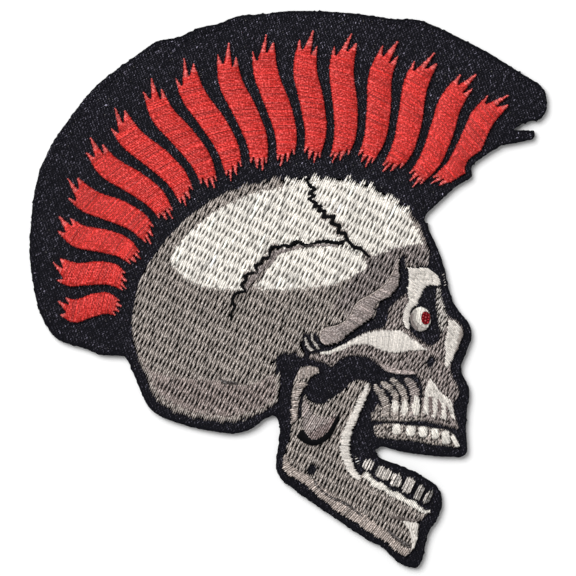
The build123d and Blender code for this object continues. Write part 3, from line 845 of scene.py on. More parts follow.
@dataclass(frozen=True)
class ClothFinish:
    """Plain cloth with a fine weave in relief.

    Args:
        name: The material's name.
        colour: The cloth's colour.
        weave: Distance from yarn to yarn.
        weave_height: Height of the yarns, as a share of the fluff's.
        depth: Depth of the relief.
        roughness: How matt it is.
        gloss: Strength of its mirror light.
        fluff: How many spots of fluff there are to a metre.
        fluff_detail: How many finer layers the spots have.
        fluff_range: The spots' values between which the light strays.
        fluff_light: The least and the most light there.
    """

    name: str
    colour: Colour
    weave: float = 0.4 * MM
    weave_height: float = 0.7
    depth: float = 0.03 * MM
    roughness: float = 0.9
    gloss: float = 0.05
    fluff: float = 1500.0
    fluff_detail: float = 4.0
    fluff_range: Span = (0.3, 0.7)
    fluff_light: Span = (0.7, 1.3)

    def material(self) -> bpy.types.Material:
        """Build the material.

        Returns:
            The material.
        """
        material, recipe, shader = plain_material(self.name, self.roughness, self.gloss)
        here = recipe.add("ShaderNodeTexCoord").outputs["Object"]
        across, up, _ = recipe.add("ShaderNodeSeparateXYZ", {0: here}).outputs
        turn = 2 * math.pi / self.weave
        warp, weft = (
            recipe.sum("SINE", recipe.sum("MULTIPLY", recipe.sum(slant, across, up), turn))
            for slant in ("ADD", "SUBTRACT")
        )
        inputs = {"Vector": here, "Scale": self.fluff, "Detail": self.fluff_detail}
        fluff = recipe.add("ShaderNodeTexNoise", inputs).outputs["Fac"]
        light = recipe.ranged(fluff, self.fluff_range, self.fluff_light)
        colour = recipe.add("ShaderNodeCombineXYZ", dict(enumerate(self.colour))).outputs[0]
        recipe.tree.links.new(recipe.scaled(colour, light), shader.inputs["Base Color"])
        yarns = recipe.sum("MAXIMUM", warp, weft)
        height = recipe.sum("MULTIPLY_ADD", yarns, self.weave_height, fluff)
        inputs = {"Height": height, "Distance": self.depth, "Strength": 1.0}
        bump = recipe.add("ShaderNodeBump", inputs)
        recipe.tree.links.new(bump.outputs[0], shader.inputs["Normal"])
        return material


THREADS = {
    Slot.BLACK: ThreadFinish("black_thread", roughness=0.7, sheen=0.0, gloss=0.08),
    Slot.RED: ThreadFinish(
        "red_thread", roughness=0.5, ply_depth=0.06 * MM, grain=0.3 * MM, grain_depth=0.6,
        painted_glint=0.14, painted_flank_shade=0.3,
    ),
    Slot.GREY: ThreadFinish(
        "grey_thread", grain=0.3 * MM, grain_depth=0.55, painted_glint=0.28, gloss=0.15, painted_flank_shade=0.8,
        painted_end_shade=0.95,
    ),
    Slot.MAUVE: ThreadFinish(
        "mauve_thread", grain=0.3 * MM, grain_depth=0.6, painted_glint=0.26, gloss=0.15, painted_flank_shade=0.75,
        painted_end_shade=0.6,
    ),
    Slot.WHITE: ThreadFinish(
        "white_thread", grain=0.3 * MM, grain_depth=0.3, painted_flank_shade=0.5, painted_end_shade=0.1
    ),
    Slot.IRIS: ThreadFinish("iris_thread", grain_depth=0.4, painted_glint=0.1),
    Slot.CLOTH: ThreadFinish("twill_yarn", roughness=0.75, sheen=0.0, grain_depth=0.6, gloss=0.08),
}


class Workroom:
    """The thread, the cloth and the tree that all the sewing shares."""

    def __init__(self) -> None:
        """Make the materials, the thread's forms and the tree."""
        self.layer = StitchLayer()
        self.forms = {form: form.build() for form in (FILL_FORM, SATIN_FORM, FLOAT_FORM)}
        self.threads = {slot: finish.material() for slot, finish in THREADS.items()}
        self.beds = {}

    def bed_material(self, colour: Colour) -> bpy.types.Material:
        """Give the cloth that shows between stitches.

        Args:
            colour: Its colour.

        Returns:
            The material, which is made once for each colour.
        """
        if colour not in self.beds:
            name = f"underlay_{len(self.beds)}"
            self.beds[colour] = ClothFinish(name, colour, depth=0.01 * MM).material()
        return self.beds[colour]

    def lay(self, plan: StitchPlan, form: ThreadForm, slot: Slot, spread: float) -> bpy.types.Object:
        """Lay a plan's threads and turn them into a plain mesh.

        Args:
            plan: The plan.
            form: The thread's form.
            slot: The slot that the thread takes its finish from.
            spread: How much the threads' girth strays.

        Returns:
            The stitching's object.
        """
        points = plan.points()
        modifier = points.modifiers.new("stitches", "NODES")
        modifier.node_group = self.layer.tree
        for name, value in (
            ("Form", self.forms[form]),
            ("Thread", self.threads[slot]),
            ("Girth Spread", spread),
            ("Seed", plan.seed),
        ):
            modifier[self.layer.sockets[name]] = value
        shown = points.evaluated_get(bpy.context.evaluated_depsgraph_get())
        mesh = bpy.data.meshes.new_from_object(shown)
        mesh.name = plan.name
        for name in ("middle", "run", "girth", "loft", "dip", "crown", "sway"):
            mesh.attributes.remove(mesh.attributes[name])
        points.modifiers.remove(modifier)
        bpy.data.objects.remove(points)
        return put(plan.name, mesh)

    def bed(self, node: str, bottom: float, top: float, colour: Colour) -> bpy.types.Object:
        """Make the low bed under an area's threads from its solid's form.

        Args:
            node: The solid.
            bottom: Height of the bed's underside.
            top: Height of the bed's top.
            colour: The bed's colour.

        Returns:
            The bed's object.
        """
        low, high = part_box(node)
        form = bmesh.new()
        form.from_mesh(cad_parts[node].data)
        bmesh.ops.remove_doubles(form, verts=form.verts, dist=WELD)
        for vertex in form.verts:
            share = (vertex.co.z - low.z) / (high.z - low.z)
            vertex.co.z = bottom + share * (top - bottom)
        mesh = bpy.data.meshes.new(node + "_bed")
        form.to_mesh(mesh)
        form.free()
        mesh.materials.append(self.bed_material(colour))
        mesh.polygons.foreach_set("use_smooth", [False] * len(mesh.polygons))
        return put(node + "_bed", mesh)


def joined(things: list[bpy.types.Object]) -> bpy.types.Object:
    """Join objects into the first of them.

    Args:
        things: The objects.

    Returns:
        The first object, which now holds them all.
    """
    with bpy.context.temp_override(
        active_object=things[0], object=things[0], selected_editable_objects=things
    ):
        bpy.ops.object.join()
    return things[0]


@dataclass(frozen=True)
class Field:
    """A small field on the patch.

    Args:
        corners: Rows of (across, up), in percent of the patch's width and height.
        top: Height of the top of an area that is sewn there.
    """

    corners: tuple[Span, ...]
    top: float

    def outline(self) -> Outline:
        """Give its outline.

        Returns:
            The outline, of one loop.
        """
        size = np.array([cad_high.x - cad_low.x, cad_high.y - cad_low.y])
        low = np.array([cad_low.x, cad_low.y])
        return Outline([low + np.array(self.corners) / 100 * size])


def field(*corners: Span, top: float = 1.9 * MM) -> Field:
    """Give the field between corners."""
    return Field(corners, top)


@dataclass(frozen=True)
class Inset:
    """A field of another colour inside an area.

    Args:
        colour: Its colour.
        field: Where it is.
    """

    colour: Shade
    field: Field


@dataclass(frozen=True)
class Area:
    """One stitched area of the patch.

    Args:
        name: The solid that it stands for, or a name of its own where it has a field.
        lie: How its stitches lie.
        colour: The thread's colour.
        slot: The record's material slot.
        sewing: How its thread is laid.
        angle: Direction of its rows, in degrees.
        upper: Whether it is sewn on another area, and not on the ground.
        covers: The areas that are sewn over it.
        stops: The areas that it stops short of.
        insets: Fields of other colours in it.
        spread: How much its colour strays.
        thin: The colour of its prongs, if they have one of their own.
        bed_light: Light of its bed, as a share of its colour's.
        field: Where it is, if it stands for no solid.
    """

    name: str
    lie: Lie
    colour: Shade
    slot: Slot
    sewing: Sewing
    angle: float = 64.3
    upper: bool = False
    covers: tuple[str, ...] = ()
    stops: tuple[str, ...] = ()
    insets: tuple[Inset, ...] = ()
    spread: float = 0.12
    thin: Shade | None = None
    bed_light: float = 0.02
    field: Field | None = None

    def outline(self) -> Outline:
        """Give its outline."""
        return self.field.outline() if self.field else Outline.of(self.name)


@dataclass
class Needle:
    """Draws the stitches of an area and sews them.

    Args:
        room: The thread, cloth and tree.
        girth_spread: How much the threads' girth strays.
        upper_sink: How much lower a fill lies that is sewn on another area.
        underlap: How far a fill runs on under the areas that cover it.
        trim: How far it keeps off the areas that it stops short of.
        drift: How far its cuts move on with each row, as a share of a stitch.
        shortest: The least that a cut leaves at a row's end, as a share of a stitch.
        uncut: The length up to which a row has no cut, as a share of a stitch.
        tufts: How many tufts there are before they repeat.
        tuft_rows: How many rows end together in a tuft.
        tuft_reach: The least and the most that a tuft reaches past the outline, in frays.
        near_fray: How much of that reach a tuft's near ends have, as a share.
        fill_sway: How far the ends of fill stitches stray sideways, in rows.
        satin_sway: How far the ends of satin stitches do.
        splits: Where a long satin stitch is cut, between which shares of its parts.
        thin: The width under which a prong has a colour of its own.
        frayed_share: How many rungs are frayed.
        rung_fray: How far they reach past the outline or short of it, in frays.
        jut_share: How far a scalloped side stands out between its hollows, as a share of its jut.
        cord_overlap: How far the stitches of the painted highlight cord overlap, as a share of their
            length.
        cord_lift: How high they lie, as a share of the loft.
        sewn: How many areas have been sewn.
    """

    room: Workroom
    girth_spread: float = 0.08
    upper_sink: float = 0.12 * MM
    underlap: float = 1.3 * MM
    trim: float = 0.12 * MM
    drift: float = 0.0036
    shortest: float = 0.22
    uncut: float = 0.7
    tufts: int = 200
    tuft_rows: int = 2
    tuft_reach: Span = (-0.35, 0.75)
    near_fray: float = 0.5
    fill_sway: float = 0.1
    satin_sway: float = 0.08
    splits: Span = (0.15, 0.85)
    thin: float = 1.0 * MM
    frayed_share: float = 0.45
    rung_fray: float = 0.8
    jut_share: float = 0.7
    cord_overlap: float = 0.2
    cord_lift: float = 0.3
    sewn: int = 0

    def sew(self, area: Area) -> bpy.types.Object:
        """Sew an area, and let it stand for its solid if it has one.

        Args:
            area: The area.

        Returns:
            The finished piece.
        """
        self.sewn += 1
        sewing = area.sewing
        top = area.field.top if area.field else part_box(area.name)[1].z
        if area.lie is Lie.FILL:
            top -= sewing.crown * sewing.stitch / 2
            top -= self.upper_sink if area.upper else 0.0
        plan = StitchPlan(area.name + "_sewn", sewing, top, self.sewn)
        draw = {Lie.FILL: self.fill, Lie.ACROSS: self.across, Lie.RUNGS: self.rungs}[area.lie]
        draw(area, plan)
        form = FILL_FORM if area.lie is Lie.FILL else SATIN_FORM
        piece = self.room.lay(plan, form, area.slot, self.girth_spread)
        if area.field is None:
            bed_top = plan.level + sewing.bed_rise * sewing.loft
            shade = tuple(share * area.bed_light for share in area.colour.value)
            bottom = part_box("ground_cloth")[1].z
            piece = joined([piece, self.room.bed(area.name, bottom, bed_top, shade)])
        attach(piece, "root")
        if area.field is None:
            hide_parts(area.name)
        return piece

    def tints(self, area: Area, plan: StitchPlan, middles: np.ndarray) -> list[Colour]:
        """Colour stitches by where their middles lie.

        Args:
            area: The area.
            plan: The plan that takes the stitches.
            middles: The stitches' middles.

        Returns:
            A colour for each.
        """
        tinters = [Tinter(area.colour, area.spread, plan.stray)] * len(middles)
        for inset in area.insets:
            other = Tinter(inset.colour, area.spread, plan.stray)
            for number in np.flatnonzero(inset.field.outline().contains(middles)):
                tinters[number] = other
        return [tinter.next() for tinter in tinters]

    def fill(self, area: Area, plan: StitchPlan) -> None:
        """Draw rows of fill stitches.

        Args:
            area: The area.
            plan: The plan that takes the stitches.
        """
        sewing = area.sewing
        rows = Rows(area.angle, sewing.pitch)
        step = sewing.stitch
        shortest = step * self.shortest
        over = Outline.of(*area.covers).spans(rows) if area.covers else {}
        beside = Outline.of(*area.stops).spans(rows) if area.stops else {}
        tufts = plan.stray.uniform(*self.tuft_reach, (self.tufts, 2)) * sewing.fray
        drawn = []
        for row, stretches in area.outline().spans(rows).items():
            left = without(stretches, beside.get(row, []), -self.trim)
            stretches = [span for span in left if span in stretches or span[1] - span[0] > shortest]
            phase = step * ((row % 2) / 2 + self.drift * row)
            for start, end in without(stretches, over.get(row, []), self.underlap):
                near, far = tufts[row // self.tuft_rows % len(tufts)]
                start -= sewing.ragged * plan.stray.random() + max(near, 0.0) * self.near_fray
                end += sewing.ragged * plan.stray.random() + far
                first = math.ceil((start + shortest - phase) / step)
                last = math.floor((end - shortest - phase) / step)
                cuts = [phase + number * step for number in range(first, last + 1)]
                if end - start < step * self.uncut:
                    cuts = []
                cuts = [cut + plan.stray.normal(0, sewing.scatter) * step for cut in cuts]
                edges = [start, *cuts, end]
                for low, high in zip(edges, edges[1:]):
                    sway = plan.stray.normal(0, self.fill_sway, 2)
                    drawn.append((rows.point(row + sway[0], low), rows.point(row + sway[1], high)))
        middles = np.array(drawn).mean(axis=1)
        for (near, far), tint in zip(drawn, self.tints(area, plan, middles)):
            plan.add(near, far, tint)

    def across(self, area: Area, plan: StitchPlan) -> None:
        """Draw parallel satin stitches from edge to edge of each of an area's colours.

        Args:
            area: The area.
            plan: The plan that takes the stitches.
        """
        rows = Rows(area.angle, area.sewing.pitch)
        left = area.outline().spans(rows)
        for inset in area.insets:
            spans = inset.field.outline().spans(rows)
            tinter = Tinter(inset.colour, area.spread, plan.stray)
            for row, stretches in left.items():
                own = [
                    (max(low, start), min(high, end))
                    for low, high in spans.get(row, [])
                    for start, end in stretches
                    if min(high, end) > max(low, start)
                ]
                self.satin(area, plan, rows, row, own, tinter)
                left[row] = without(stretches, spans.get(row, []), 0.0)
        tinter = Tinter(area.colour, area.spread, plan.stray)
        for row, stretches in left.items():
            self.satin(area, plan, rows, row, stretches, tinter)

    def satin(
        self, area: Area, plan: StitchPlan, rows: Rows, row: int, stretches: list[Span], tinter: Tinter
    ) -> None:
        """Draw a row's satin stitches.

        Args:
            area: The area.
            plan: The plan that takes the stitches.
            rows: The rows.
            row: The row's number.
            stretches: Where the row is stitched.
            tinter: What colours the stitches.
        """
        sewing = area.sewing
        prong = Tinter(area.thin or area.colour, area.spread, plan.stray)
        for start, end in stretches:
            colours = prong if area.thin and end - start < self.thin else tinter
            start -= sewing.ragged * plan.stray.random()
            end += sewing.ragged * plan.stray.random()
            parts = max(1, math.ceil((end - start) / sewing.stitch))
            split = plan.stray.uniform(*self.splits)
            step = (end - start) / parts
            cuts = [start + step * (number + split - 0.5) for number in range(1, parts)]
            edges = [start, *cuts, end]
            for low, high in zip(edges, edges[1:]):
                sway = plan.stray.normal(0, self.satin_sway, 2)
                near, far = rows.point(row + sway[0], low), rows.point(row + sway[1], high)
                plan.add(near, far, colours.next())

    def rungs(self, area: Area, plan: StitchPlan) -> None:
        """Draw satin stitches between the two long sides of a narrow area.

        Args:
            area: The area.
            plan: The plan that takes the stitches.
        """
        sewing = area.sewing
        left, right = rails(area.outline().outer, sewing.pitch)
        if (right - left).mean(axis=0) @ (1, -1) < 0:
            left, right = right, left
        tints = self.tints(area, plan, (left + right) / 2)
        hollows = np.abs(np.sin(np.linspace(0, math.pi * sewing.scallops, len(left))))
        juts = sewing.jut * (self.jut_share - hollows)
        for start, end, tint, jut in zip(left, right, tints, juts):
            run = end - start
            stray = plan.stray.random(2) * sewing.ragged + (jut, 0.0)
            if plan.stray.random() < self.frayed_share:
                stray[1] += sewing.fray * plan.stray.uniform(-self.rung_fray, self.rung_fray)
            stray /= max(float(np.hypot(*run)), MM)
            plan.add(start - run * stray[0], end + run * stray[1], tint)
        # A pale cord along the upper left side, the side the lamp lights: a painted highlight
        if sewing.highlight_cord:
            edge = resampled(left, round(len(left) * sewing.pitch / sewing.highlight_cord))
            for start, end in zip(edge, edge[1:]):
                overlap = (end - start) * self.cord_overlap
                lift = sewing.loft * self.cord_lift
                plan.add(start - overlap, end + overlap, Shade.PALE.value, lift)


def resampled(line: np.ndarray, count: int) -> np.ndarray:
    """Space points evenly along a line.

    Args:
        line: The line's points.
        count: How many points are wanted.

    Returns:
        The evenly spaced points.
    """
    steps = np.hypot(*np.diff(line, axis=0).T)
    reached = np.concatenate([[0], np.cumsum(steps)])
    wanted = np.linspace(0, reached[-1], count)
    return np.column_stack([np.interp(wanted, reached, line[:, axis]) for axis in (0, 1)])


def rails(
    loop: np.ndarray, pitch: float, fineness: int = 400, fewest: int = 3
) -> tuple[np.ndarray, np.ndarray]:
    """Part a long loop at its two ends into two sides with as many points each.

    Args:
        loop: The closed loop.
        pitch: Distance from point to point.
        fineness: Among how many points round the loop the two ends are found.
        fewest: The fewest points that a side has.

    Returns:
        The two sides, from the same end.
    """
    closed = resampled(np.vstack([loop, loop[:1]]), fineness)[:-1]
    gaps = np.hypot(*(closed[:, None] - closed[None]).transpose(2, 0, 1))
    one, other = sorted(np.unravel_index(gaps.argmax(), gaps.shape))
    left = closed[one:other + 1]
    right = np.vstack([closed[other:], closed[:one + 1]])[::-1]
    longest = max(np.hypot(*np.diff(side, axis=0).T).sum() for side in (left, right))
    count = max(fewest, round(longest / pitch))
    return resampled(left, count), resampled(right, count)


@dataclass(frozen=True)
class Ground:
    """The black cloth with its cut edge and its twill.

    Args:
        room: The thread, cloth and tree.
        finish: The cloth's finish.
        cut_step: From one corner of the cut edge to the next.
        cut_levels: Rows of (share of the thickness, inset in millimetres) up the cut edge.
        cut_wave: How far the cut edge waves outwards.
        wave_blend: How a corner's wave blends with its neighbours'.
        nub_share: How many corners have a nub of loose thread.
        nub_reach: How far a nub sticks out.
        jitter: How far the corners of each level stray.
        cut_seed: The seed of the cut edge.
        rows: The rows of the twill.
        rise: Height of the twill's floats over the cloth.
        float_step: From one float of a row to the next.
        float_half: Half a float's length, as a share of that.
        row_shift: How far each row moves on from the last, as a share of it.
        rim: How far the ground is bare round a float, in halves of its length.
        drift: How far a float strays from its place.
        turn: How far it turns, in radians.
        runs: Its shortest and longest run, as shares of its length.
        lifts: The least and the most that it lies higher, in millimetres.
        lights: Its light at the patch's foot and at its top, in multiples of black's.
        light_spread: How much its light strays.
        fluff_and_glint_share: How many floats are pale specks: lint, and painted glints of the yarn's
            sheen.
        fluff_and_glint_lights: The least and the most light of those specks, in shares of their
            colour.
        fluff_and_glint_run: How short they are, as a share of a float.
        girth_spread: How much the floats' girth strays.
        twill_seed: The seed of the twill.
    """

    room: Workroom
    finish: ClothFinish = ClothFinish("black_cloth", paint(19, 19, 24))
    cut_step: float = 0.3 * MM
    cut_levels: tuple[Span, ...] = ((0.0, 0.06), (0.12, 0.0), (0.5, 0.0), (0.9, 0.0), (1.0, 0.05))
    cut_wave: float = 0.13 * MM
    wave_blend: tuple[float, ...] = (0.3, 0.4, 0.3)
    nub_share: float = 0.02
    nub_reach: float = 0.18 * MM
    jitter: float = 0.01 * MM
    cut_seed: int = 7
    rows: Rows = Rows(61.0, FLOAT_SEWING.pitch)
    rise: float = 0.08 * MM
    float_step: float = 0.62 * MM
    float_half: float = 0.46
    row_shift: float = 0.37
    rim: float = 1.6
    drift: float = 0.05 * MM
    turn: float = 0.35
    runs: Span = (0.7, 1.1)
    lifts: Span = (-0.04, 0.03)
    lights: Span = (1.9, 4.3)
    light_spread: float = 0.7
    fluff_and_glint_share: float = 0.035
    fluff_and_glint_lights: Span = (0.1, 0.7)
    fluff_and_glint_run: float = 0.4
    girth_spread: float = 0.2
    twill_seed: int = 11

    @cached_property
    def outline(self) -> Outline:
        """The cloth's outline."""
        return Outline.of("ground_cloth")

    def build(self) -> list[bpy.types.Object]:
        """Build the cloth and the twill on it."""
        return [self.cloth(), self.twill()]

    def levels(self, bottom: float, thickness: float) -> tuple[np.ndarray, list[np.ndarray]]:
        """Work out the corners of the slightly uneven cut edge.

        Args:
            bottom: Height of the cloth's underside.
            thickness: The cloth's thickness.

        Returns:
            The (x, y) corners of an even edge, and the (x, y, z) corners of each level, going up.
        """
        stray = np.random.default_rng(self.cut_seed)
        loop = self.outline.outer
        closed = np.vstack([loop, loop[:1]])
        around = np.hypot(*np.diff(closed, axis=0).T).sum()
        points = resampled(closed, round(around / self.cut_step))[:-1]
        count = len(points)
        tangent = np.roll(points, -1, axis=0) - np.roll(points, 1, axis=0)
        inward = np.column_stack([-tangent[:, 1], tangent[:, 0]])
        inward /= np.hypot(*inward.T)[:, None]
        wave = np.convolve(stray.normal(0, self.cut_wave, count + 2), self.wave_blend, "valid")
        nubs = np.where(stray.random(count) < self.nub_share, self.nub_reach, 0.0)
        levels = []
        for share, inset in self.cut_levels:
            jitter = stray.normal(0, self.jitter, count)
            corners = points + inward * (inset * MM + jitter - np.abs(wave) - nubs)[:, None]
            levels.append(np.column_stack([corners, np.full(count, bottom + share * thickness)]))
        return points, levels

    def cloth(self) -> bpy.types.Object:
        """Build the cloth as one closed sheet with its cut edge.

        Returns:
            The cloth.
        """
        low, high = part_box("ground_cloth")
        points, levels = self.levels(low.z, high.z - low.z)
        form = bmesh.new()
        rings = [[form.verts.new(corner) for corner in level] for level in levels]
        for lower, upper in zip(rings, rings[1:]):
            for number, corner in enumerate(lower):
                after = (number + 1) % len(lower)
                form.faces.new((corner, lower[after], upper[after], upper[number]))
        flat = [Vector(point) / MM for point in points]
        loop = [list(range(len(flat)))]
        _, _, triangles, *_ = delaunay_2d_cdt(flat, [], loop, INSIDE_ONLY, TRIANGLE_WELD)
        for triangle in triangles:
            form.faces.new([rings[-1][corner] for corner in triangle])
            form.faces.new([rings[0][corner] for corner in reversed(triangle)])
        mesh = bpy.data.meshes.new("ground_cloth_cut")
        form.to_mesh(mesh)
        form.free()
        mesh.materials.append(self.finish.material())
        piece = put("ground_cloth_cut", mesh)
        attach(piece, "root")
        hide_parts("ground_cloth")
        area = loop_area(self.outline.outer)
        return piece

    def floats(self, plan: StitchPlan, outline: Outline, covered: list[str]) -> None:
        """Add the floats of the twill inside an outline.

        Args:
            plan: The plan that takes them.
            outline: The outline.
            covered: The solids that cover the ground.
        """
        step = self.float_step
        places = []
        for row, stretches in outline.spans(self.rows).items():
            phase = step * ((row * self.row_shift) % 1)
            for start, end in stretches:
                first = math.ceil((start - phase) / step)
                last = math.floor((end - phase) / step)
                for number in range(first, last + 1):
                    places.append(self.rows.point(row, phase + number * step))
        places = np.array(places)
        half = self.rows.ahead * step * self.float_half
        reach = half * self.rim
        bare = self.outline.contains(places + reach) & self.outline.contains(places - reach)
        for node in covered:
            bare &= ~Outline.of(node).contains(places)
        low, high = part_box("ground_cloth")
        foot, head = self.lights
        for place in places[bare]:
            share = (place[1] - low.y) / (high.y - low.y)
            light = foot + share * (head - foot)
            place = place + plan.stray.normal(0, self.drift, 2)
            turn = plan.stray.normal(0, self.turn)
            run = half * plan.stray.uniform(*self.runs)
            run = run * math.cos(turn) + np.array([-run[1], run[0]]) * math.sin(turn)
            tint = np.array(Shade.BLACK.value) * light * plan.stray.lognormal(0, self.light_spread)
            # Some floats are pale specks: lint, and painted glints of the yarn's sheen
            if plan.stray.random() < self.fluff_and_glint_share:
                tint = np.array(Shade.FLUFF_AND_GLINT.value) * plan.stray.uniform(*self.fluff_and_glint_lights)
                run = run * self.fluff_and_glint_run
            tint = tuple(np.clip(tint, 0, 1))
            plan.add(place - run, place + run, tint, plan.stray.uniform(*self.lifts) * MM)

    def twill(self) -> bpy.types.Object:
        """Lay the floats of the twill on the ground that stays bare.

        Returns:
            The twill.
        """
        covered = [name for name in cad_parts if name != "ground_cloth"]
        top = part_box("ground_cloth")[1].z
        plan = StitchPlan("ground_twill", FLOAT_SEWING, top + self.rise, self.twill_seed)
        self.floats(plan, self.outline, covered)
        piece = self.room.lay(plan, FLOAT_FORM, Slot.CLOTH, self.girth_spread)
        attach(piece, "root")
        return piece


@dataclass(frozen=True)
class Border:
    """The black border round the edge.

    Args:
        ground: The ground, whose weave the border shares.
        bed_height: Height of its bed.
        bed_colour: The bed's colour.
        rise: Height of the floats over the bed.
        seed: The seed of the floats.
    """

    ground: Ground
    bed_height: float = 0.12 * MM
    bed_colour: Colour = paint(17, 17, 22)
    rise: float = 0.07 * MM
    seed: int = 5

    def build(self) -> list[bpy.types.Object]:
        """Lay the border's floats over its bed.

        Returns:
            The border, alone in a list.
        """
        room = self.ground.room
        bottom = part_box("edge_border")[0].z
        top = bottom + self.bed_height + self.rise
        plan = StitchPlan("edge_border_sewn", FLOAT_SEWING, top, self.seed)
        self.ground.floats(plan, Outline.of("edge_border"), [])
        stitching = room.lay(plan, FLOAT_FORM, Slot.BLACK, self.ground.girth_spread)
        bed = room.bed("edge_border", bottom, bottom + self.bed_height, self.bed_colour)
        piece = joined([stitching, bed])
        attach(piece, "root")
        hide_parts("edge_border")
        return [piece]


def numbered(start: str) -> list[str]:
    """Give the solids whose names start alike, in order."""
    return sorted(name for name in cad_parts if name.startswith(start))


SMOOTH_AREA = partial(Area, colour=Shade.CREAM, slot=Slot.WHITE, sewing=SMOOTH_SEWING)
FINE_AREA = partial(Area, lie=Lie.ACROSS, sewing=TOOTH_SEWING)
FLECK_AREA = partial(
    Area, lie=Lie.ACROSS, colour=Shade.IVORY, slot=Slot.WHITE, sewing=FLECK_SEWING
)
# Dark thread laid as the painted shade of a groove
GROOVE_SHADE_AREA = partial(Area, lie=Lie.RUNGS, slot=Slot.MAUVE, sewing=LINE_SEWING)


@dataclass(frozen=True)
class Stitching:
    """A sub-assembly that is all stitched areas.

    Args:
        needle: What sews the areas.
    """

    needle: Needle

    def areas(self) -> Iterator[Area]:
        """Give the areas in the order in which they are sewn."""
        raise NotImplementedError

    def build(self) -> list[bpy.types.Object]:
        """Sew the areas."""
        return [self.needle.sew(area) for area in self.areas()]


@dataclass(frozen=True)
class Crest(Stitching):
    """The locks of hair.

    Args:
        slant: From a lock's own direction to its stitches', in degrees.
        bed_light: Light of its bed, as a share of its colour's.
    """

    slant: float = 78.0
    bed_light: float = 0.5

    def angle(self, node: str) -> float:
        """Give the direction of a lock's stitches.

        Args:
            node: The lock's solid.

        Returns:
            The direction in degrees.
        """
        loop = Outline.of(node).outer
        _, _, axes = np.linalg.svd(loop - loop.mean(0), full_matrices=False)
        return math.degrees(math.atan2(axes[0][1], axes[0][0])) + self.slant

    def areas(self) -> Iterator[Area]:
        """Give a satin area for each lock.

        Returns:
            The areas.
        """
        for node in numbered("crest_lock_"):
            yield Area(
                node, Lie.ACROSS, Shade.RED, Slot.RED, LOCK_SEWING, self.angle(node),
                thin=Shade.CORAL, bed_light=self.bed_light,
            )


@dataclass(frozen=True)
class Cranium(Stitching):
    """The skull cap, with its highlights, sutures and ridges.

    Args:
        crown_light: Where the cap's own thread is white, round the crown's highlights.
        temple_light: Where it is white, round the temple's highlight.
        forehead_shade: Where it is dusky, on the forehead.
        suture_join: The thread that joins the two sutures.
        suture_shade: The dusky thread under the squamous suture.
        nape_groove: Dark thread, the painted shade of a groove at the nape.
    """

    crown_light: Field = field(
        (49.0, 63.3), (49.0, 72.3), (60.0, 73.2), (71.6, 69.6), (73.9, 63.5), (70.7, 61.5),
        (60.0, 63.3),
    )
    temple_light: Field = field((48.4, 59.2), (62.0, 59.2), (65.0, 57.2), (64.6, 54.0), (48.4, 54.8))
    forehead_shade: Field = field(
        (64.9, 54.9), (72.4, 58.3), (78.2, 58.3), (78.6, 54.5), (72.4, 54.5), (70.1, 50.5),
        (62.0, 45.2), (58.1, 46.2),
    )
    suture_join: Field = field((59.9, 58.6), (61.5, 59.3), (61.8, 58.8), (60.0, 58.0), top=2.05 * MM)
    suture_shade: Field = field(
        (41.4, 49.8), (42.0, 51.4), (43.2, 52.7), (44.4, 54.0), (46.1, 55.0), (47.1, 56.8),
        (49.6, 57.3), (52.3, 58.0), (55.8, 58.2), (59.6, 58.0), (59.6, 57.6), (55.8, 57.7),
        (52.5, 57.4), (50.0, 56.7), (47.8, 56.1), (46.9, 54.5), (45.1, 53.4), (44.1, 52.1),
        (42.7, 50.9), (41.9, 49.5), top=2.03 * MM,
    )
    nape_groove: Field = field(
        (36.2, 34.4), (37.6, 33.6), (40.3, 33.2), (40.2, 32.8), (37.4, 33.0), top=2.0 * MM
    )

    def areas(self) -> Iterator[Area]:
        """Give the areas in the order in which they are sewn.

        Returns:
            The areas.
        """
        highlights = ("crown_highlight_back", "crown_highlight_front", "temple_highlight")
        yield Area(
            "cranium_fill", Lie.FILL, Shade.GREY, Slot.GREY, CAP_SEWING,
            covers=(*highlights, "nape_shade"), stops=("temple_ridge",),
            insets=(
                Inset(Shade.WHITE, self.crown_light),
                Inset(Shade.WHITE, self.temple_light),
                Inset(Shade.DUSK, self.forehead_shade),
            ),
        )
        for name in highlights:
            yield Area(
                name, Lie.FILL, Shade.WHITE, Slot.WHITE, WHITE_SEWING, upper=True, bed_light=0.25
            )
        yield Area("nape_shade", Lie.FILL, Shade.BLUSH, Slot.MAUVE, FILL_SEWING, upper=True)
        for name in ("coronal_suture", "squamous_suture"):
            yield Area(name, Lie.RUNGS, Shade.INK, Slot.BLACK, SUTURE_SEWING, upper=True)
        yield FINE_AREA(
            "suture_join", colour=Shade.INK, slot=Slot.BLACK, angle=22.0, field=self.suture_join
        )
        yield FINE_AREA(
            "suture_shade", colour=Shade.DUSK, slot=Slot.GREY, spread=0.3, field=self.suture_shade
        )
        yield Area(
            "temple_ridge", Lie.RUNGS, Shade.MAUVE, Slot.MAUVE, RIDGE_SEWING, upper=True, spread=0.2
        )
        for name in ("temple_arc_1", "temple_arc_2"):
            yield Area(name, Lie.RUNGS, Shade.IVORY, Slot.MAUVE, ARC_SEWING, spread=0.2)
        # Dark thread: painted shade at the nape
        yield GROOVE_SHADE_AREA("nape_groove", colour=Shade.SHADOW, field=self.nape_groove)


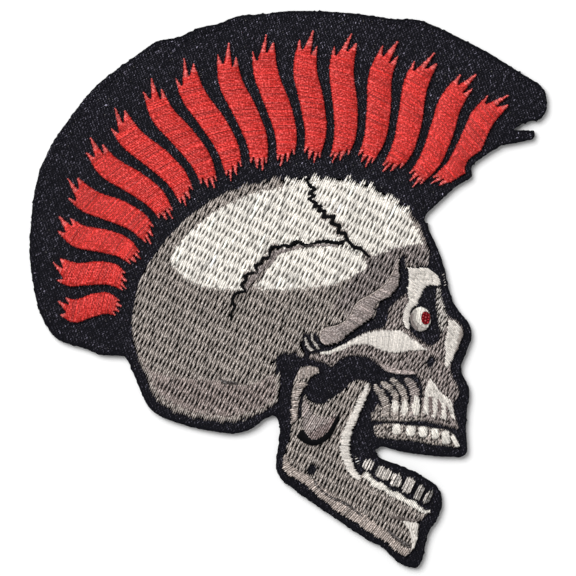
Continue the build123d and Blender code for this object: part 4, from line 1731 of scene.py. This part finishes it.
@dataclass(frozen=True)
class Face(Stitching):
    """The brow, the eye, the cheek, the nose bone and the upper jaw.

    Args:
        brow_fleck: A loose wisp of thread by the brow.
        eye_shade: Where the eyeball's thread is dusky, at its back.
        eye_rim: Where it is ivory, before that.
        bridge_light: Where the face's own thread is ivory, between the eye and the nose.
        cheek_edge: The thin edge under the cheek.
        cheek_tip: The thin white tip of the cheek arch.
        nose_shade: Where the nose's thread is grey.
        maxilla_strips: Where the upper jaw's thread is dim, between the roots.
        ridge_tips: The white tips of the ridges over the back teeth, from the second one on.
        gum_fringe: The short stitches under the ridges.
    """

    brow_fleck: Field = field((79.9, 52.6), (80.1, 52.6), (80.7, 50.4), (80.4, 50.3), top=1.6 * MM)
    eye_shade: Field = field(
        (73.2, 47.0), (74.3, 46.8), (74.0, 44.3), (75.2, 42.8), (75.2, 41.5), (73.2, 42.0)
    )
    eye_rim: Field = field(
        (73.2, 47.0), (74.9, 46.8), (74.6, 44.4), (76.0, 43.0), (77.2, 42.7), (76.0, 41.5),
        (73.2, 42.0),
    )
    bridge_light: Field = field(
        (77.8, 51.2), (79.6, 51.2), (80.7, 44.8), (81.5, 43.9), (79.9, 42.2), (78.4, 44.8)
    )
    cheek_edge: Field = field(
        (67.2, 36.9), (69.3, 36.0), (71.6, 35.5), (74.2, 35.3), (74.7, 34.7), (73.2, 34.6),
        (70.9, 34.7), (68.7, 35.3),
    )
    cheek_tip: Field = field(
        (56.1, 38.7), (56.4, 38.2), (58.1, 38.2), (58.9, 38.6), (60.4, 38.9), (62.3, 39.8),
        (64.9, 40.7), (64.3, 41.2), (62.0, 40.4), (60.0, 39.8), (58.1, 38.9), top=1.95 * MM,
    )
    nose_shade: Field = field(
        (83.3, 42.9), (84.6, 42.6), (83.9, 39.3), (82.6, 37.0), (82.1, 34.8), (81.5, 35.6),
        (82.1, 38.0), (82.7, 40.3),
    )
    maxilla_strips: tuple[Field, ...] = (
        field((77.2, 30.8), (77.9, 30.6), (78.0, 27.3), (77.2, 27.3)),
        field((78.9, 30.2), (79.7, 29.4), (79.6, 26.9), (78.9, 26.9)),
        field((80.5, 29.4), (81.2, 28.4), (81.6, 26.5), (80.7, 26.5)),
    )
    ridge_tips: tuple[Field, ...] = tuple(
        field(*corners, top=2.0 * MM)
        for corners in (
            ((70.5, 30.3), (71.3, 29.5), (71.4, 28.4), (70.9, 27.6), (70.2, 27.9), (70.0, 29.0)),
            ((72.5, 30.4), (73.1, 29.6), (73.2, 28.1), (72.6, 27.1), (71.9, 27.4), (71.8, 28.9)),
            ((74.5, 31.0), (75.3, 30.6), (75.5, 29.0), (75.2, 27.4), (74.3, 27.0), (73.9, 28.6)),
        )
    )
    gum_fringe: Field = field(
        (66.1, 27.6), (67.4, 29.3), (68.6, 28.4), (69.6, 29.4), (72.0, 29.3), (76.0, 29.0),
        (76.3, 26.3), (71.2, 26.2), (66.1, 26.3), top=1.8 * MM,
    )

    def areas(self) -> Iterator[Area]:
        """Give the areas in the order in which they are sewn.

        Returns:
            The areas.
        """
        yield SMOOTH_AREA("brow_highlight", Lie.ACROSS, angle=-38.0, spread=0.09, bed_light=0.6)
        yield FLECK_AREA("brow_fleck", angle=25.0, spread=0.4, field=self.brow_fleck)
        yield FINE_AREA(
            "eyeball", colour=Shade.WHITE, slot=Slot.WHITE, angle=80.0, bed_light=0.3,
            insets=(Inset(Shade.DUSK, self.eye_shade), Inset(Shade.IVORY, self.eye_rim)),
        )
        yield Area(
            "iris", Lie.ACROSS, Shade.CRIMSON, Slot.IRIS, IRIS_SEWING, angle=80.0, upper=True,
            spread=0.25, bed_light=0.25,
        )
        yield Area(
            "face_fill", Lie.FILL, Shade.MAUVE, Slot.GREY, FACE_SEWING,
            covers=("cheek_highlight", "nose_highlight", "maxilla_highlight"),
            insets=(Inset(Shade.IVORY, self.bridge_light),),
        )
        yield Area(
            "cheek_edge", Lie.RUNGS, Shade.ROSE, Slot.MAUVE, TOOTH_SEWING, spread=0.2,
            field=self.cheek_edge,
        )
        yield FINE_AREA(
            "cheek_tip", colour=Shade.WHITE, slot=Slot.WHITE, angle=85.0, field=self.cheek_tip
        )
        yield SMOOTH_AREA("cheek_highlight", Lie.RUNGS, upper=True, spread=0.09, bed_light=0.2)
        yield SMOOTH_AREA(
            "nose_highlight", Lie.ACROSS, angle=-50.0, upper=True, spread=0.09, bed_light=0.6,
            insets=(Inset(Shade.GREY, self.nose_shade),),
        )
        yield SMOOTH_AREA(
            "maxilla_highlight", Lie.ACROSS, angle=-62.0, upper=True, bed_light=0.5,
            insets=tuple(Inset(Shade.DIM, strip) for strip in self.maxilla_strips),
        )
        shades = [Shade.GREY] * 3 + [Shade.MAUVE]
        for name, shade in zip(numbered("alveolar_ridge_"), shades):
            yield Area(name, Lie.RUNGS, shade, Slot.GREY, HOLLOW_SEWING, spread=0.28)
        for number, tip in enumerate(self.ridge_tips, 2):
            name = f"ridge_tip_{number}"
            yield FINE_AREA(name, colour=Shade.WHITE, slot=Slot.WHITE, angle=80.0, field=tip)
        gum = Area("upper_teeth_fill", Lie.FILL, Shade.GREY, Slot.GREY, GUM_SEWING, spread=0.3)
        yield replace(gum, name="gum_fringe", field=self.gum_fringe)
        yield gum


@dataclass(frozen=True)
class Jaw(Stitching):
    """The lower jaw, with its branch, its highlights and the painted shade of its grooves.

    Args:
        ramus_knob: The pale knob at the top of the branch.
        ramus_edge: The pale edge down its back.
        hollow_shade: Where the thread of the branch's hollow is dim.
        chin_groove: Dark thread, the painted shade of a groove across the chin.
        back_groove_shade: Dark thread, the painted shade of the back part of the groove over the lower
            border.
        front_groove_shade: The front part of that painted shade.
        cheek_thread: A loose wisp of thread.
    """

    ramus_knob: Field = field(
        (51.9, 33.5), (51.6, 34.5), (52.4, 35.7), (54.0, 36.2), (55.7, 35.9), (56.0, 35.3),
        (54.8, 34.4), (53.6, 33.9),
    )
    ramus_edge: Field = field(
        (51.4, 33.0), (53.4, 33.4), (53.6, 32.7), (52.5, 31.7), (51.9, 30.1), (51.7, 26.8),
        (50.7, 25.8), (50.7, 28.3), (50.9, 31.0),
    )
    hollow_shade: Field = field(
        (54.2, 24.0), (56.0, 25.2), (58.0, 26.0), (59.8, 28.4), (60.4, 26.0), (58.8, 22.6),
        (56.0, 21.6), (54.0, 22.6),
    )
    chin_groove: Field = field(
        (68.9, 9.1), (70.9, 9.2), (72.8, 8.9), (75.3, 8.6), (75.3, 8.3), (72.4, 8.4), (70.5, 8.7),
        top=2.0 * MM,
    )
    back_groove_shade: Field = field(
        (54.6, 16.4), (55.8, 14.9), (57.1, 13.6), (58.7, 12.7), (60.2, 12.2), (62.0, 11.2),
        (63.9, 9.8), (65.0, 8.8), (63.7, 9.3), (61.8, 10.7), (60.0, 11.6), (58.3, 12.2),
        (56.5, 13.3), (55.2, 14.7), top=2.14 * MM,
    )
    front_groove_shade: Field = field(
        (69.0, 7.7), (69.7, 6.7), (70.7, 5.7), (72.0, 4.9), (73.8, 3.9), (73.6, 3.4), (71.8, 4.4),
        (70.2, 5.4), (69.3, 6.5), top=2.14 * MM,
    )
    cheek_thread: Field = field((62.8, 20.1), (63.1, 20.2), (63.8, 18.5), (63.5, 18.3), top=1.4 * MM)

    def areas(self) -> Iterator[Area]:
        """Give the areas in the order in which they are sewn.

        Returns:
            The areas.
        """
        yield Area(
            "jaw_fill", Lie.FILL, Shade.GREY, Slot.GREY, FILL_SEWING,
            covers=(
                "ramus_hollow", "ramus_shadow", "ramus_highlight", "gum_highlight",
                "chin_highlight", "jaw_ridge",
            ),
        )
        yield FINE_AREA(
            "ramus_knob", colour=Shade.PALE, slot=Slot.MAUVE, angle=80.0, spread=0.25,
            field=self.ramus_knob,
        )
        yield Area(
            "ramus_edge", Lie.ACROSS, Shade.PALE, Slot.GREY, HOLLOW_SEWING, angle=8.0, spread=0.3,
            field=self.ramus_edge,
        )
        yield Area(
            "ramus_hollow", Lie.ACROSS, Shade.MAUVE, Slot.MAUVE, HOLLOW_SEWING, angle=60.0,
            upper=True, insets=(Inset(Shade.DIM, self.hollow_shade),), spread=0.25,
        )
        yield Area("ramus_shadow", Lie.RUNGS, Shade.INK, Slot.BLACK, LINE_SEWING, upper=True)
        yield SMOOTH_AREA("ramus_highlight", Lie.RUNGS, upper=True, spread=0.06, bed_light=0.3)
        yield Area(
            "gum_highlight", Lie.RUNGS, Shade.WHITE, Slot.WHITE, SERRATED_SEWING, upper=True,
            bed_light=0.3,
        )
        yield SMOOTH_AREA("chin_highlight", Lie.ACROSS, angle=80.0, upper=True, bed_light=0.6)
        # Dark thread: painted shade across the chin
        yield GROOVE_SHADE_AREA("chin_groove", colour=Shade.UMBER, field=self.chin_groove)
        yield Area(
            "jaw_ridge", Lie.RUNGS, Shade.SAND, Slot.MAUVE, HOLLOW_SEWING, upper=True, spread=0.2
        )
        # Dark thread: painted shade along the lower border
        yield GROOVE_SHADE_AREA("jaw_groove_back", colour=Shade.SHADOW, field=self.back_groove_shade)
        yield GROOVE_SHADE_AREA("jaw_groove_front", colour=Shade.SHADOW, field=self.front_groove_shade)
        yield FLECK_AREA("cheek_thread", angle=20.0, spread=0.5, field=self.cheek_thread)


@dataclass(frozen=True)
class Teeth(Stitching):
    """The upper and the lower row of teeth.

    Args:
        upper_angle: Direction of the upper teeth's stitches, in degrees.
        upper_bed_light: Light of their beds, as a share of their colour's.
        lower_spread: How much the lower teeth's colour strays.
    """

    upper_angle: float = -62.0
    upper_bed_light: float = 0.3
    lower_spread: float = 0.45

    def areas(self) -> Iterator[Area]:
        """Give a satin area for each tooth, the upper row first.

        Returns:
            The areas.
        """
        for node in numbered("upper_tooth_"):
            yield FINE_AREA(
                node, colour=Shade.WHITE, slot=Slot.WHITE, angle=self.upper_angle, upper=True,
                bed_light=self.upper_bed_light,
            )
        for node in numbered("lower_tooth_"):
            yield Area(
                node, Lie.ACROSS, Shade.IVORY, Slot.GREY, LOOSE_SEWING, spread=self.lower_spread
            )


@dataclass(frozen=True)
class Studio:
    """The floor, the light and the camera.

    Args:
        photo_size: Pixels across the photo.
        patch_left: The patch's left side in the photo, in pixels.
        patch_right: Its right side.
        patch_top: Its top.
        patch_bottom: Its bottom.
        camera_height: Height of the camera over the stitching.
        sensor: Width of the camera's sensor in millimetres.
        floor_side: Side of the floor.
        floor_drop: How far the floor lies under the patch.
        floor_shade: How light the floor is.
        floor_roughness: How matt it is.
        floor_gloss: Strength of its mirror light.
        sky: Strength of the light all round.
        lamp_place: Where the lamp hangs.
        lamp_side: The lamp's side.
        lamp_power: Its power in watts.
    """

    photo_size: float = 576.0
    patch_left: float = 29.5
    patch_right: float = 546.8
    patch_top: float = 10.5
    patch_bottom: float = 567.5
    camera_height: float = 0.7
    sensor: float = 36.0
    floor_side: float = 3.0
    floor_drop: float = 0.02 * MM
    floor_shade: float = 0.97
    floor_roughness: float = 0.9
    floor_gloss: float = 0.5
    sky: float = 0.4
    lamp_place: tuple[float, float, float] = (-0.42, 0.47, 0.85)
    lamp_side: float = 0.7
    lamp_power: float = 11.6

    def floor(self) -> None:
        """Lay a plain pale floor."""
        mesh = bpy.data.meshes.new("floor")
        half = self.floor_side / 2
        corners = [(-half, -half), (half, -half), (half, half), (-half, half)]
        mesh.from_pydata([(x, y, -self.floor_drop) for x, y in corners], [], [(0, 1, 2, 3)])
        material, _, shader = plain_material("pale_floor", self.floor_roughness, self.floor_gloss)
        shader.inputs["Base Color"].default_value = (*[self.floor_shade] * 3, 1.0)
        mesh.materials.append(material)
        thing = put("floor", mesh)

    def light(self) -> None:
        """Set soft light all round and a broad lamp at the upper left, turned to the patch."""
        world = bpy.data.worlds.new("studio")
        world.use_nodes = True
        background = world.node_tree.nodes["Background"]
        background.inputs["Color"].default_value = (1.0, 1.0, 1.0, 1.0)
        background.inputs["Strength"].default_value = self.sky
        bpy.context.scene.world = world
        lamp = bpy.data.lights.new("key", "AREA")
        lamp.size = self.lamp_side
        lamp.energy = self.lamp_power
        thing = put("key", lamp)
        thing.location = self.lamp_place
        x, y, z = self.lamp_place
        tilt = math.atan2(math.hypot(x, y), z)
        thing.rotation_euler = (tilt, 0.0, math.atan2(-y, -x) - math.pi / 2)

    def camera(self) -> None:
        """Hang the camera straight over the patch, as the photo was taken."""
        width = cad_high.x - cad_low.x
        pixel = width / (self.patch_right - self.patch_left)
        right = (self.patch_left + self.patch_right - self.photo_size) / 2
        down = (self.patch_top + self.patch_bottom - self.photo_size) / 2
        data = bpy.data.cameras.new("camera")
        data.sensor_width = self.sensor
        data.lens = self.sensor * self.camera_height / (self.photo_size * pixel)
        thing = put("camera", data)
        thing.location = (-right * pixel, down * pixel, self.camera_height + cad_high.z)
        bpy.context.scene.camera = thing

    def set_up(self) -> None:
        """Set up the floor, the light and the camera."""
        self.floor()
        self.light()
        self.camera()
        bpy.context.scene.view_settings.view_transform = "Standard"


def main() -> None:
    """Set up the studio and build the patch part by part."""
    logging.basicConfig(level=logging.INFO, format="%(name)s: %(message)s")
    Studio().set_up()
    room = Workroom()
    needle = Needle(room)
    ground = Ground(room)
    skull = [Cranium(needle), Face(needle), Jaw(needle), Teeth(needle)]
    for part in [ground, Border(ground), Crest(needle), *skull]:
        for piece in part.build():
            log.info("%s: %s, %d faces", type(part).__name__, piece.name, len(piece.data.polygons))


if __name__ == "__main__":
    main()
